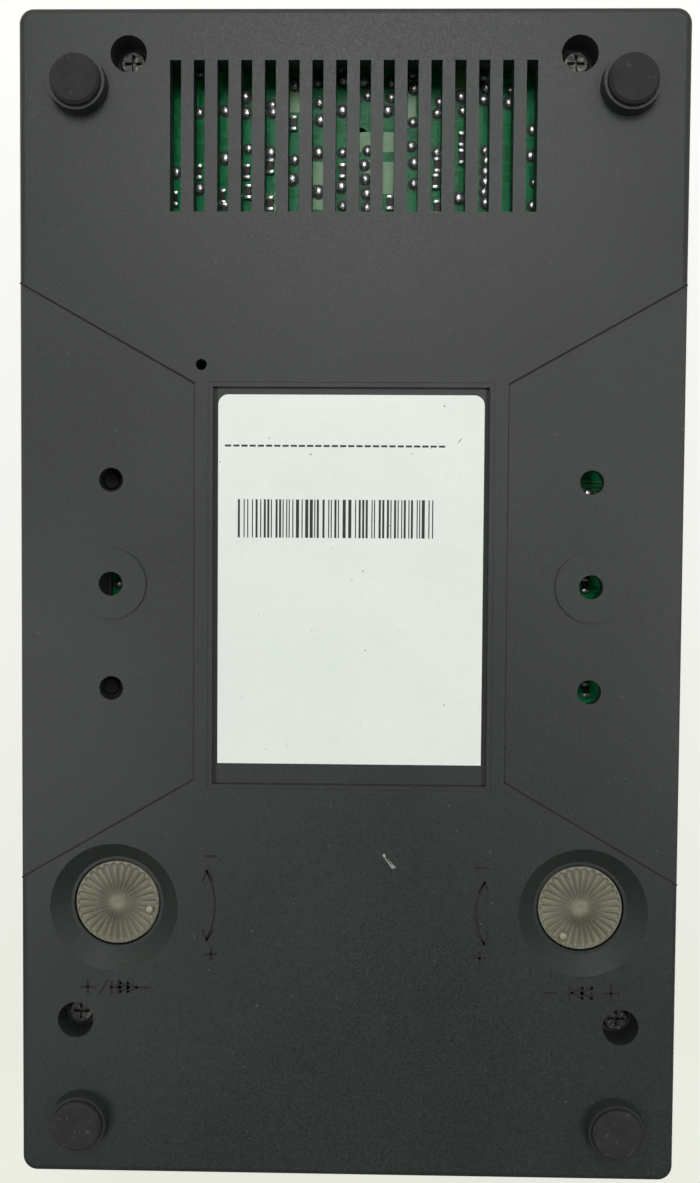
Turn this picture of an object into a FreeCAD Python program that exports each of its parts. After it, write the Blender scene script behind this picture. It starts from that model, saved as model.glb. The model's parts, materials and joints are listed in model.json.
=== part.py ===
import FreeCAD, Part
import os
import re
import Sketcher

# A desk transcription machine: a wedge-shaped two-shell case on four feet, with a small
# cassette deck under a hinged lid, a key row, two sliders, a speaker, a display and two
# trimmer knobs sunk in the underside.
# X runs to the user's right, Y to the rear, Z up. The feet stand on Z = 0, and the origin
# is below the middle of the case. All sizes are in millimetres.

SIZES = {
    # Case
    "case_width": 132.0,
    "case_length": 233.0,
    "rear_height": 54.0,
    "top_fall": 8.0,
    "brow_from_front": 48.5,
    "key_slope": 0.16,
    "split_height": 26.0,
    "shell_wall": 2.5,
    "floor_thick": 2.5,
    "corner_round": 3.0,
    "base_round": 1.5,
    "top_round": 2.2,
    "seam_bevel": 0.4,
    "lip_drop": 2.5,
    "lip_thick": 1.2,
    "lip_front": -60.0,
    "lip_rear": 70.0,
    "fit_gap": 0.15,
    "seat_gap": 0.05,
    "run_gap": 0.05,
    "move_gap": 0.3,
    # Feet and collars
    "foot_from_side": 12.2,
    "foot_from_rear": 15.5,
    "foot_from_front": 11.5,
    "collar_tall": 2.7,
    "collar_base_radius": 5.9,
    "collar_rim_radius": 5.55,
    "foot_radius": 4.9,
    "foot_gap": 0.08,
    "foot_proud": 1.3,
    "foot_sunk": 2.3,
    "foot_bevel": 0.5,
    # Case screws and their wells
    "rear_screw_from_side": 21.9,
    "rear_screw_from_rear": 9.2,
    "front_screw_from_side": 11.1,
    "front_screw_from_front": 31.6,
    "well_radius": 3.6,
    "well_deep": 6.0,
    "well_floor": 2.0,
    "post_wall": 2.0,
    "screw_radius": 1.5,
    "screw_head_radius": 2.8,
    "screw_head_tall": 1.8,
    "screw_long": 14.0,
    "boss_radius": 4.2,
    # Vent slots
    "vent_count": 16.0,
    "vent_pitch": 4.65,
    "vent_width": 2.2,
    "vent_long": 29.3,
    "vent_from_rear": 10.4,
    "vent_rib": 1.6,
    "vent_frame": 3.0,
    # Recessed side zones of the underside
    "zone_deep": 0.35,
    "zone_inner": 31.0,
    "zone_rear": 43.4,
    "zone_front": -35.9,
    "zone_side_rear": 63.1,
    "zone_side_front": -56.3,
    # Label and its recess
    "recess_width": 54.8,
    "recess_long": 79.2,
    "recess_middle": 3.0,
    "recess_deep": 0.5,
    "rim_width": 0.95,
    "rim_deep": 0.12,
    "label_width": 52.7,
    "label_long": 73.5,
    "label_middle": 4.35,
    "label_thick": 0.15,
    "label_corner": 2.0,
    # Trimmer knobs and their craters
    "crater_from_side": 18.9,
    "crater_from_front": 54.7,
    "crater_radius": 12.9,
    "crater_floor_radius": 9.5,
    "crater_deep": 3.0,
    "crater_wall": 1.5,
    "knob_radius": 8.5,
    "knob_gap": 0.35,
    "knob_thick": 3.2,
    "knob_dome": 0.4,
    "knob_hub_radius": 2.3,
    "knob_rim_radius": 7.6,
    "flute_count": 30.0,
    "flute_inner": 0.16,
    "flute_outer": 0.655,
    "flute_lift": 0.035,
    "flute_margin": 0.3,
    "pip_radius": 0.7,
    "pip_tall": 0.35,
    "pip_reach": 6.9,
    "speed_knob_flute": 16.0,
    "backspace_knob_flute": 25.0,
    "dimple_radius": 0.45,
    "stem_radius": 3.0,
    "pot_side": 16.0,
    "pot_tall": 6.5,
    "pot_floor": 1.0,
    # Access holes
    "access_from_side": 18.3,
    "access_rear": 24.1,
    "access_middle": 3.4,
    "access_front": -17.5,
    "access_radius": 2.4,
    "disc_radius": 7.05,
    "disc_tall": 0.45,
    "pin_hole_across": 29.7,
    "pin_hole_along": 46.9,
    "pin_hole_radius": 1.1,
    # Main board
    "board_lift": 6.0,
    "board_thick": 1.6,
    "board_side_gap": 3.0,
    "board_rear_gap": 3.0,
    "board_from_front": 16.5,
    "stand_radius": 2.8,
    "stand_from_side": 10.0,
    "stand_rear": 62.0,
    "stand_front": -36.0,
    "spare_hole_across": -1.25,
    "spare_hole_along": 95.05,
    "spare_hole_radius": 1.5,
    "small_screw_radius": 1.0,
    "small_head_radius": 2.1,
    "small_head_tall": 1.4,
    "small_screw_long": 5.0,
    # Parts on the main board
    "chip_wide": 7.6,
    "chip_tall": 3.4,
    "sink_across": -15.0,
    "sink_face": 92.0,
    "sink_wide": 24.0,
    "sink_base_thick": 2.5,
    "sink_tall": 20.0,
    "fin_count": 6.0,
    "fin_long": 5.0,
    "fin_thick": 1.5,
    "regulator_wide": 10.0,
    "regulator_thick": 4.5,
    "regulator_tall": 9.0,
    "leg_long": 4.0,
    "leg_pitch": 2.54,
    "leg_side": 0.7,
    # Sockets on the rear wall
    "power_across": 30.0,
    "power_wide": 16.0,
    "power_tall": 9.6,
    "power_cavity_wide": 13.6,
    "power_cavity_tall": 7.0,
    "power_cavity_deep": 10.0,
    "power_pin_pitch": 8.8,
    "power_pin_radius": 0.9,
    "power_pin_long": 7.0,
    "foot_socket_wide": 15.4,
    "foot_socket_tall": 10.6,
    "foot_cavity_wide": 11.8,
    "foot_cavity_tall": 7.0,
    "foot_cavity_deep": 12.0,
    "jack_across": -30.0,
    "jack_side": 9.6,
    "jack_nose_radius": 3.9,
    "jack_bore_radius": 1.8,
    "jack_bore_deep": 14.0,
    "socket_long": 16.0,
    "socket_wall_gap": 0.3,
    # Speaker
    "speaker_across": 28.0,
    "speaker_from_rear": 36.5,
    "speaker_radius": 24.0,
    "speaker_flange": 1.2,
    "speaker_drop": 3.5,
    "speaker_deep": 10.0,
    "magnet_radius": 14.0,
    "magnet_tall": 8.0,
    "cone_radius": 20.0,
    "cone_throat": 6.5,
    "cone_deep": 6.5,
    "grille_radius": 20.0,
    "grille_pitch": 4.4,
    "grille_width": 2.0,
    # Display
    "display_across": -33.0,
    "display_from_rear": 32.5,
    "display_wide": 40.0,
    "display_long": 22.0,
    "display_ledge": 1.5,
    "window_thick": 1.2,
    "module_drop": 1.4,
    "module_tall": 4.0,
    "display_board_wide": 50.0,
    "lens_across": -8.0,
    "lens_from_rear": 15.0,
    "lens_radius": 1.5,
    "lens_long": 5.0,
    # Cassette lid
    "lid_width": 64.0,
    "lid_front": -8.0,
    "lid_hinge": 44.5,
    "lid_thick": 2.2,
    "lid_gap": 0.4,
    "barrel_radius": 3.0,
    "hinge_pin_radius": 1.0,
    "ear_thick": 3.4,
    "ledge_wide": 1.6,
    "glass_wide": 42.0,
    "glass_long": 22.0,
    "glass_front": 11.0,
    "glass_lap": 1.4,
    "glass_thick": 1.1,
    "grip_wide": 18.0,
    # Cassette well and deck plate
    "deck_height": 31.0,
    "deck_thick": 1.2,
    "deck_half_width": 44.0,
    "deck_front": -34.0,
    "deck_rear": 56.0,
    "deck_boss_across": 39.0,
    "deck_boss_front": -29.0,
    "deck_boss_rear": 51.0,
    "deck_boss_radius": 3.0,
    "well_floor_height": 37.8,
    "well_floor_thick": 1.4,
    "well_half_width": 25.9,
    "well_front": -6.0,
    "well_rear": 39.6,
    "well_wall": 1.5,
    "well_leg_radius": 2.4,
    # Capstan, flywheel and motor
    "capstan_across": 13.5,
    "capstan_along": 9.0,
    "capstan_radius": 1.0,
    "capstan_top": 44.0,
    "flywheel_radius": 15.0,
    "flywheel_low": 16.8,
    "flywheel_rim": 3.6,
    "flywheel_web": 1.4,
    "flywheel_hub_radius": 3.4,
    "flywheel_hub_top": 27.6,
    "groove_deep": 0.7,
    "bearing_radius": 3.0,
    "bearing_flange": 1.2,
    "bearing_low": 28.0,
    "bearing_top": 34.4,
    "bracket_thick": 1.0,
    "bracket_gap": 0.3,
    "motor_across": -30.0,
    "motor_along": 4.0,
    "motor_radius": 10.5,
    "motor_low": 20.6,
    "pulley_radius": 3.2,
    "motor_shaft_radius": 0.75,
    "belt_side": 1.1,
    "belt_gap": 0.05,
    # Reel drive
    "reel_half_pitch": 12.7,
    "reel_along": 24.0,
    "turntable_radius": 7.0,
    "turntable_low": 32.7,
    "turntable_thick": 2.4,
    "spindle_radius": 2.9,
    "spindle_top": 42.3,
    "spline_count": 3.0,
    "spline_reach": 3.7,
    "spline_thick": 0.9,
    "reel_post_radius": 1.0,
    "reel_motor_along": 34.0,
    "reel_motor_radius": 8.0,
    "reel_motor_low": 18.0,
    "pinion_radius": 2.0,
    "idler_radius": 4.5,
    "idler_gap": 0.1,
    "idler_thick": 2.0,
    "arm_thick": 0.8,
    "arm_half_width": 3.2,
    # Head bridge, solenoid and pinch roller
    "bridge_low": 32.5,
    "bridge_thick": 1.2,
    "bridge_half_width": 9.0,
    "bridge_front": -12.0,
    "bridge_rear": 1.0,
    "head_half_width": 4.0,
    "head_front": -3.0,
    "head_nose": 3.4,
    "head_low": 38.6,
    "head_tall": 6.2,
    "solenoid_half_width": 8.0,
    "solenoid_front": -32.0,
    "solenoid_long": 17.0,
    "solenoid_tall": 11.0,
    "plunger_radius": 2.4,
    "roller_radius": 4.0,
    "roller_low": 39.2,
    "roller_tall": 4.6,
    "roller_along": 2.3,
    "roller_pin_radius": 0.8,
    "pinch_pivot_across": 22.5,
    "pinch_pivot_along": -0.5,
    "pinch_pivot_radius": 1.2,
    "pinch_arm_half_width": 2.2,
    "pinch_arm_thick": 1.0,
    "bridge_slot": 13.0,
    # Keys
    "key_count": 5.0,
    "key_pitch": 18.6,
    "key_width": 18.0,
    "key_from_front": 13.5,
    "key_long": 24.0,
    "key_rise": 2.2,
    "key_wall": 1.5,
    "key_gap": 0.4,
    "key_round": 1.0,
    "key_flange": 1.0,
    "key_flange_thick": 1.4,
    "key_stem_radius": 2.4,
    "key_board_height": 29.2,
    "key_board_thick": 1.6,
    "mat_thick": 1.2,
    "dome_radius": 4.2,
    "dome_top_radius": 2.6,
    "dome_tall": 3.8,
    # Sliders
    "slider_across": 30.0,
    "slider_from_front": 66.5,
    "channel_half_long": 21.0,
    "channel_half_wide": 5.5,
    "channel_deep": 1.6,
    "channel_floor": 1.8,
    "slider_half_travel": 12.0,
    "slider_half_long": 5.0,
    "slider_half_wide": 4.6,
    "slider_tall": 5.2,
    "slider_stem_half": 2.0,
    "slider_stem_thick": 1.6,
    "slot_half_wide": 1.5,
    "fader_tall": 7.0,
    "fader_wall": 1.5,
    "stem_deep": 4.5,
}

doc = FreeCAD.newDocument("transcription_machine")
sheet = doc.addObject("Spreadsheet::Sheet", "Sizes")
pieces = []
WORD = re.compile(r"[a-z][a-z_]*")


def fill_sheet():
    """Write each driving size into the sheet, with its name beside it as the cell's alias."""
    for row, (name, value) in enumerate(SIZES.items(), start=1):
        sheet.set(f"A{row}", name)
        sheet.set(f"B{row}", str(value))
        sheet.setAlias(f"B{row}", name)
    doc.recompute()


def formula(text):
    """The text with each size's name turned into a reference to its cell."""
    def reference(word):
        """A size's name with the sheet's name before it, and any other word as it is."""
        return "Sizes." + word.group() if word.group() in SIZES else word.group()

    return WORD.sub(reference, str(text))


def number(text):
    """The value of a formula at the sheet's present sizes."""
    value = sheet.evalExpression(formula(text))
    return float(value)


# Formulas that several pieces share
UNDER = "(collar_tall + foot_proud)"
INNER_FLOOR = f"({UNDER} + floor_thick)"
SIDE = "(case_width / 2)"
END = "(case_length / 2)"
FOOT_X = f"({SIDE} - foot_from_side)"
FOOT_REAR = f"({END} - foot_from_rear)"
FOOT_FRONT = f"(foot_from_front - {END})"
WELL_TOP = f"({UNDER} + well_deep)"
POST_TOP = f"({WELL_TOP} + well_floor)"
CRATER_X = f"({SIDE} - crater_from_side)"
CRATER_Y = f"(crater_from_front - {END})"
LIP_LOW = f"({UNDER} + crater_deep)"
ACCESS_X = f"({SIDE} - access_from_side)"
BOARD_LOW = f"({INNER_FLOOR} + board_lift)"
BOARD_TOP = f"({BOARD_LOW} + board_thick)"
STAND_X = f"({SIDE} - stand_from_side)"
DECK_TOP = "(deck_height + deck_thick)"
BROW_Y = f"(brow_from_front - {END})"
SLIDER_Y = f"(slider_from_front - {END})"
KEY_FRONT = f"(key_from_front - {END})"
KEY_REAR = f"({KEY_FRONT} + key_long)"
KEY_BOARD_TOP = "(key_board_height + key_board_thick)"
MAT_TOP = f"({KEY_BOARD_TOP} + mat_thick)"
SPEAKER_Y = f"({END} - speaker_from_rear)"
DISPLAY_Y = f"({END} - display_from_rear)"
LID_HALF = "(lid_width / 2)"
LID_REAR = "(lid_hinge + barrel_radius)"

SCREW_PLACES = []
FOOT_PLACES = []
for side_sign in ("", "-"):
    SCREW_PLACES.append((f"{side_sign}({SIDE} - rear_screw_from_side)", f"({END} - rear_screw_from_rear)"))
    SCREW_PLACES.append((f"{side_sign}({SIDE} - front_screw_from_side)", f"(front_screw_from_front - {END})"))
    FOOT_PLACES.append((f"{side_sign}{FOOT_X}", FOOT_REAR))
    FOOT_PLACES.append((f"{side_sign}{FOOT_X}", FOOT_FRONT))


def top_at(along):
    """Height of the main top plane at a place along the case."""
    return f"(rear_height - ({END} - ({along})) * top_fall / case_length)"


def key_face_at(along):
    """Height of the steeper front plane, which holds the keys."""
    return f"({top_at(BROW_Y)} - ({BROW_Y} - ({along})) * key_slope)"


KEY_FLANGE_TOP = f"({key_face_at(KEY_FRONT)} - shell_wall - move_gap)"
LEDGE_TOP = f"({top_at('lid_front - lid_gap')} - lid_thick - move_gap)"
WELL_RIM = f"({LEDGE_TOP} - ledge_wide - move_gap)"
ARM_TOP = "(roller_low - run_gap)"
ARM_LOW = f"({ARM_TOP} - pinch_arm_thick)"


# Helpers for primitives
def place(thing, x, y, z):
    """Bind a piece's place to three formulas."""
    for axis, text in zip("xyz", (x, y, z)):
        thing.setExpression(f"Placement.Base.{axis}", formula(text))


def size_box(block, x, y, z):
    """Bind a block to a low and a high formula along each axis."""
    for side, (low, high) in zip(("Length", "Width", "Height"), (x, y, z)):
        block.setExpression(side, formula(f"({high}) - ({low})"))
    place(block, x[0], y[0], z[0])
    return block


def box(name, x, y, z):
    """A free block."""
    return size_box(doc.addObject("Part::Box", name), x, y, z)


TURNS = {
    "Z": FreeCAD.Rotation(),
    "X": FreeCAD.Rotation(FreeCAD.Vector(0, 1, 0), 90),
    "Y": FreeCAD.Rotation(FreeCAD.Vector(1, 0, 0), -90),
}


def size_round(drum, low_place, span, radii, axis="Z"):
    """Bind a cylinder or cone: its lower centre, its length and one or two radii."""
    drum.Placement = FreeCAD.Placement(FreeCAD.Vector(), TURNS[axis])
    drum.setExpression("Height", formula(span))
    names = ("Radius",) if len(radii) == 1 else ("Radius1", "Radius2")
    for name, radius in zip(names, radii):
        drum.setExpression(name, formula(radius))
    place(drum, *low_place)
    return drum


def cylinder(name, low_place, span, radius, axis="Z"):
    """A free cylinder from its lower centre along an axis."""
    return size_round(doc.addObject("Part::Cylinder", name), low_place, span, (radius,), axis)


def cone(name, low_place, span, low_radius, high_radius, axis="Z"):
    """A free cone from its lower centre along an axis."""
    return size_round(doc.addObject("Part::Cone", name), low_place, span, (low_radius, high_radius), axis)


def fuse(name, *parts):
    """Join touching solids into one."""
    joined = doc.addObject("Part::MultiFuse", name)
    joined.Shapes = list(parts)
    return joined


def cut(name, base, *tools):
    """Take the tools away from the base."""
    result = doc.addObject("Part::Cut", name)
    result.Base = base
    result.Tool = tools[0] if len(tools) == 1 else fuse(name + "_tools", *tools)
    return result


def group(name, *parts):
    """Separate solids kept together as one sub-part."""
    gathered = doc.addObject("Part::Compound", name)
    gathered.Links = list(parts)
    return gathered


def keep(thing, label):
    """Name a finished sub-part."""
    thing.Label = label
    pieces.append(thing)
    return thing


# Helpers for bodies
def new_body(label):
    """A body whose label is the sub-part's name."""
    body = doc.addObject("PartDesign::Body", label)
    return keep(body, label)


def body_plane(body, role):
    """One of the body's own origin planes."""
    return next(plane for plane in body.Origin.OriginFeatures if plane.Role == role)


def sketch_on(body, name, role="XY_Plane", offset="0"):
    """A sketch on an origin plane of the body, moved along the plane's normal."""
    sketch = body.newObject("Sketcher::SketchObject", name)
    sketch.AttachmentSupport = (body_plane(body, role), [""])
    sketch.MapMode = "FlatFace"
    sketch.setExpression("AttachmentOffset.Base.z", formula(offset))
    return sketch


def pin_point(sketch, geometry, end, x, y):
    """Fix a point of the sketch by two formulas from the origin."""
    for kind, text in (("DistanceX", x), ("DistanceY", y)):
        index = sketch.addConstraint(Sketcher.Constraint(kind, -1, 1, geometry, end, number(text)))
        sketch.setExpression(f"Constraints[{index}]", formula(text))


def draw_outline(sketch, corners):
    """A closed outline of straight sides through the corners."""
    points = [FreeCAD.Vector(number(x), number(y), 0) for x, y in corners]
    first = sketch.GeometryCount
    count = len(points)
    for index in range(count):
        sketch.addGeometry(Part.LineSegment(points[index], points[(index + 1) % count]), False)
    for index in range(count):
        after = first + (index + 1) % count
        sketch.addConstraint(Sketcher.Constraint("Coincident", first + index, 2, after, 1))
    for index, (x, y) in enumerate(corners):
        pin_point(sketch, first + index, 1, x, y)


def draw_rectangle(sketch, x, y):
    """A rectangle between two formulas each way."""
    draw_outline(sketch, [(x[0], y[0]), (x[1], y[0]), (x[1], y[1]), (x[0], y[1])])


def draw_dome(sketch, crown, reach, rest):
    """A closed half profile: an arc from the axis at the crown to the reach, then straight sides."""
    radius = f"(({reach}) * ({reach}) + ({crown}) * ({crown})) / (2 * ({crown}))"
    swell = number(radius)
    centre = FreeCAD.Vector(0, swell - number(crown), 0)
    start = FreeCAD.Vector(0, -number(crown), 0)
    finish = FreeCAD.Vector(number(reach), 0, 0)
    middle_turn = FreeCAD.Rotation(start - centre, (start + finish) / 2 - centre)
    middle = centre + middle_turn.multVec(start - centre)
    arc = sketch.addGeometry(Part.Arc(start, middle, finish), False)
    points = [finish] + [FreeCAD.Vector(number(x), number(y), 0) for x, y in rest] + [start]
    for one, other in zip(points, points[1:]):
        sketch.addGeometry(Part.LineSegment(one, other), False)
    last = sketch.GeometryCount - 1
    for index in range(arc + 1, last):
        sketch.addConstraint(Sketcher.Constraint("Coincident", index, 2, index + 1, 1))
    sketch.addConstraint(Sketcher.Constraint("Coincident", arc, 1, last, 2))
    sketch.addConstraint(Sketcher.Constraint("Coincident", arc, 2, arc + 1, 1))
    pin_point(sketch, arc, 1, "0", f"-({crown})")
    pin_point(sketch, arc, 2, reach, "0")
    index = sketch.addConstraint(Sketcher.Constraint("Radius", arc, swell))
    sketch.setExpression(f"Constraints[{index}]", formula(radius))
    for index, (x, y) in enumerate(rest, start=arc + 2):
        pin_point(sketch, index, 1, x, y)


def pad(body, name, sketch, length, both_ways=False):
    """Raise a sketch along its normal, or half each way."""
    feature = body.newObject("PartDesign::Pad", name)
    feature.Profile = sketch
    feature.SideType = "Symmetric" if both_ways else "One side"
    feature.setExpression("Length", formula(length))
    return feature


def pocket(body, name, sketch, length, along_normal=True, both_ways=False):
    """Cut a sketch away, along its normal or against it, or half each way."""
    feature = body.newObject("PartDesign::Pocket", name)
    feature.Profile = sketch
    feature.SideType = "Symmetric" if both_ways else "One side"
    feature.Reversed = along_normal
    feature.setExpression("Length", formula(length))
    return feature


def add_box(body, name, x, y, z):
    """Add a block to the body."""
    return size_box(body.newObject("PartDesign::AdditiveBox", name), x, y, z)


def cut_box(body, name, x, y, z):
    """Cut a block from the body."""
    return size_box(body.newObject("PartDesign::SubtractiveBox", name), x, y, z)


def add_round(body, name, low_place, span, *radii, axis="Z"):
    """Add a cylinder, or a cone where two radii are given."""
    kind = "Cylinder" if len(radii) == 1 else "Cone"
    return size_round(body.newObject(f"PartDesign::Additive{kind}", name), low_place, span, radii, axis)


def cut_round(body, name, low_place, span, *radii, axis="Z"):
    """Cut a cylinder, or a cone where two radii are given."""
    kind = "Cylinder" if len(radii) == 1 else "Cone"
    return size_round(body.newObject(f"PartDesign::Subtractive{kind}", name), low_place, span, radii, axis)


def edges_where(feature, test):
    """Names of the feature's edges that pass a test on their two end points."""
    doc.recompute()
    names = []
    for index, edge in enumerate(feature.Shape.Edges, start=1):
        ends = [vertex.Point for vertex in edge.Vertexes]
        if len(ends) == 2 and test(ends[0], ends[1]):
            names.append(f"Edge{index}")
    return names


def round_edges(body, name, feature, radius, test):
    """Fillet the chosen edges of a feature."""
    fillet = body.newObject("PartDesign::Fillet", name)
    fillet.Base = (feature, edges_where(feature, test))
    fillet.setExpression("Radius", formula(radius))
    return fillet


def bevel_edges(body, name, feature, size, test):
    """Chamfer the chosen edges of a feature."""
    chamfer = body.newObject("PartDesign::Chamfer", name)
    chamfer.Base = (feature, edges_where(feature, test))
    chamfer.setExpression("Size", formula(size))
    return chamfer


def is_upright(one, other):
    """An edge that runs straight up."""
    return abs(one.x - other.x) < 1e-6 and abs(one.y - other.y) < 1e-6


def at_height(height):
    """A test for edges that lie at one height."""
    level = number(height)
    return lambda one, other: abs(one.z - level) < 1e-6 and abs(other.z - level) < 1e-6


# Case
def make_bottom_shell():
    """The moulded base: a tray with every form that the underside shows."""
    body = new_body("bottom_shell")
    footprint = sketch_on(body, "base_footprint", offset=UNDER)
    draw_rectangle(footprint, (f"-{SIDE}", SIDE), (f"-{END}", END))
    block = pad(body, "base_block", footprint, f"split_height - {UNDER}")
    corners = round_edges(body, "base_corners", block, "corner_round", is_upright)
    belly = round_edges(body, "base_belly", corners, "base_round", at_height(UNDER))
    bevel_edges(body, "base_seam", belly, "seam_bevel", at_height("split_height"))
    hollow = sketch_on(body, "base_hollow", offset=INNER_FLOOR)
    inner_side = f"({SIDE} - shell_wall)"
    inner_end = f"({END} - shell_wall)"
    draw_rectangle(hollow, (f"-{inner_side}", inner_side), (f"-{inner_end}", inner_end))
    pocket(body, "base_hollow_cut", hollow, f"split_height - {INNER_FLOOR} + 1")
    add_base_bosses(body)
    cut_side_zones(body)
    cut_label_recess(body)
    cut_base_holes(body)
    cut_vents(body)
    cut_rear_ports(body)
    add_collars(body)


def add_base_bosses(body):
    """Inner posts for screws, stands for the board, crater backs and the vent frame."""
    for index, (x, y) in enumerate(SCREW_PLACES):
        low = f"({INNER_FLOOR} - floor_thick / 2)"
        add_round(body, f"screw_post_{index}", (x, y, low), f"{POST_TOP} - {low}", "well_radius + post_wall")
    for index, (x, y) in enumerate(stand_places()):
        low = f"({INNER_FLOOR} - floor_thick / 2)"
        add_round(body, f"board_stand_{index}", (x, y, low), f"{BOARD_LOW} - {low}", "stand_radius")
    for index, sign in enumerate(("", "-")):
        low = f"({INNER_FLOOR} - floor_thick / 2)"
        add_round(body, f"crater_back_{index}", (f"{sign}{CRATER_X}", CRATER_Y, low),
                  f"{LIP_LOW} + crater_wall - {low}", "crater_radius + crater_wall")
    half = "((vent_count - 1) * vent_pitch / 2 + vent_width / 2 + vent_frame)"
    rear = f"({END} - vent_from_rear)"
    add_box(body, "vent_backing", (f"-{half}", half),
            (f"{rear} - vent_long - vent_frame", f"{END} - shell_wall / 2"),
            (f"{INNER_FLOOR} - floor_thick / 2", f"{INNER_FLOOR} + vent_rib"))


def stand_places():
    """Where the main board is screwed down."""
    front = f"(board_from_front - {END} + stand_radius * 2)"
    places = [("0", front)]
    for sign in ("", "-"):
        places.append((f"{sign}{STAND_X}", "stand_rear"))
        places.append((f"{sign}{STAND_X}", "stand_front"))
    return places


def cut_side_zones(body):
    """The two side zones, a little lower than the spine that holds the label and vents."""
    sketch = sketch_on(body, "side_zones", offset=UNDER)
    beyond = f"({SIDE} + 1)"
    stretch = f"(({beyond} - zone_inner) / ({SIDE} - zone_inner))"
    rear_run = f"(zone_rear + (zone_side_rear - zone_rear) * {stretch})"
    front_run = f"(zone_front + (zone_side_front - zone_front) * {stretch})"
    for sign in ("", "-"):
        draw_outline(sketch, [
            (f"{sign}zone_inner", "zone_rear"),
            (f"{sign}{beyond}", rear_run),
            (f"{sign}{beyond}", front_run),
            (f"{sign}zone_inner", "zone_front"),
        ])
    pocket(body, "side_zones_cut", sketch, "zone_deep")


def cut_label_recess(body):
    """The label's field, with a narrow step round it."""
    for name, grow, deep in (("label_rim", "rim_width", "rim_deep"), ("label_field", "0", "recess_deep")):
        sketch = sketch_on(body, name, offset=UNDER)
        half_wide = f"(recess_width / 2 + {grow})"
        half_long = f"(recess_long / 2 + {grow})"
        draw_rectangle(sketch, (f"-{half_wide}", half_wide),
                       (f"recess_middle - {half_long}", f"recess_middle + {half_long}"))
        pocket(body, name + "_cut", sketch, deep)


def cut_base_holes(body):
    """Craters, knob holes, screw wells, access holes with their discs and the small hole."""
    for index, sign in enumerate(("", "-")):
        x = f"{sign}{CRATER_X}"
        cut_round(body, f"crater_{index}", (x, CRATER_Y, UNDER), "crater_deep",
                  "crater_radius", "crater_floor_radius")
        cut_round(body, f"knob_hole_{index}", (x, CRATER_Y, UNDER), "crater_deep + crater_wall + 1",
                  "knob_radius + knob_gap")
        add_round(body, f"disc_{index}",
                  (f"{sign}{ACCESS_X}", "access_middle", f"{UNDER} + zone_deep - disc_tall"),
                  "disc_tall + floor_thick / 2", "disc_radius")
        for row, y in enumerate(("access_rear", "access_middle", "access_front")):
            cut_round(body, f"access_{index}_{row}", (f"{sign}{ACCESS_X}", y, f"{UNDER} - 1"),
                      "floor_thick + 2", "access_radius")
    cut_round(body, "small_hole", ("pin_hole_across", "pin_hole_along", f"{UNDER} - 1"), "floor_thick + 2",
              "pin_hole_radius")
    for index, (x, y) in enumerate(SCREW_PLACES):
        cut_round(body, f"well_{index}", (x, y, f"{UNDER} - 1"), "well_deep + 1", "well_radius")
        cut_round(body, f"well_hole_{index}", (x, y, UNDER), "well_deep + well_floor + 1",
                  "screw_radius + run_gap")
    for index, (x, y) in enumerate(stand_places()):
        cut_round(body, f"stand_hole_{index}", (x, y, f"{BOARD_TOP} - small_screw_long - fit_gap"),
                  "small_screw_long", "small_screw_radius + seat_gap")


def cut_vents(body):
    """A row of cooling slots through the floor and its backing."""
    sketch = sketch_on(body, "vent_slot", offset=f"{UNDER} - 1")
    first = "(-(vent_count - 1) * vent_pitch / 2)"
    rear = f"({END} - vent_from_rear)"
    draw_rectangle(sketch, (f"{first} - vent_width / 2", f"{first} + vent_width / 2"),
                   (f"{rear} - vent_long", rear))
    slot = pocket(body, "vent_slot_cut", sketch, "floor_thick + vent_rib + 2")
    row = body.newObject("PartDesign::LinearPattern", "vent_row")
    row.Originals = [slot]
    row.Direction = (next(axis for axis in body.Origin.OriginFeatures if axis.Role == "X_Axis"), [""])
    row.setExpression("Length", formula("(vent_count - 1) * vent_pitch"))
    row.Occurrences = int(number("vent_count"))
    body.Tip = row


def cut_rear_ports(body):
    """Openings in the rear wall, one round each socket."""
    wall_low = f"({END} - shell_wall - 1)"
    for name, across, wide, tall in (
            ("power_port", "power_across", "power_wide", "power_tall"),
            ("foot_port", "0", "foot_socket_wide", "foot_socket_tall")):
        half = f"({wide} / 2 + fit_gap)"
        cut_box(body, name, (f"{across} - {half}", f"{across} + {half}"), (wall_low, f"{END} + 1"),
                (f"{BOARD_TOP} - fit_gap", f"{BOARD_TOP} + {tall} + fit_gap"))
    cut_round(body, "jack_port", ("jack_across", wall_low, f"{BOARD_TOP} + jack_side / 2"), "shell_wall + 2",
              "jack_nose_radius + fit_gap", axis="Y")


def add_collars(body):
    """Four drafted collars, each with a seat for a rubber foot."""
    for index, (x, y) in enumerate(FOOT_PLACES):
        add_round(body, f"collar_{index}", (x, y, "foot_proud"), "collar_tall + floor_thick / 2",
                  "collar_rim_radius", "collar_base_radius")
        cut_round(body, f"collar_seat_{index}", (x, y, "foot_proud - 1"), "foot_sunk + 1",
                  "foot_radius + foot_gap")


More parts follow.
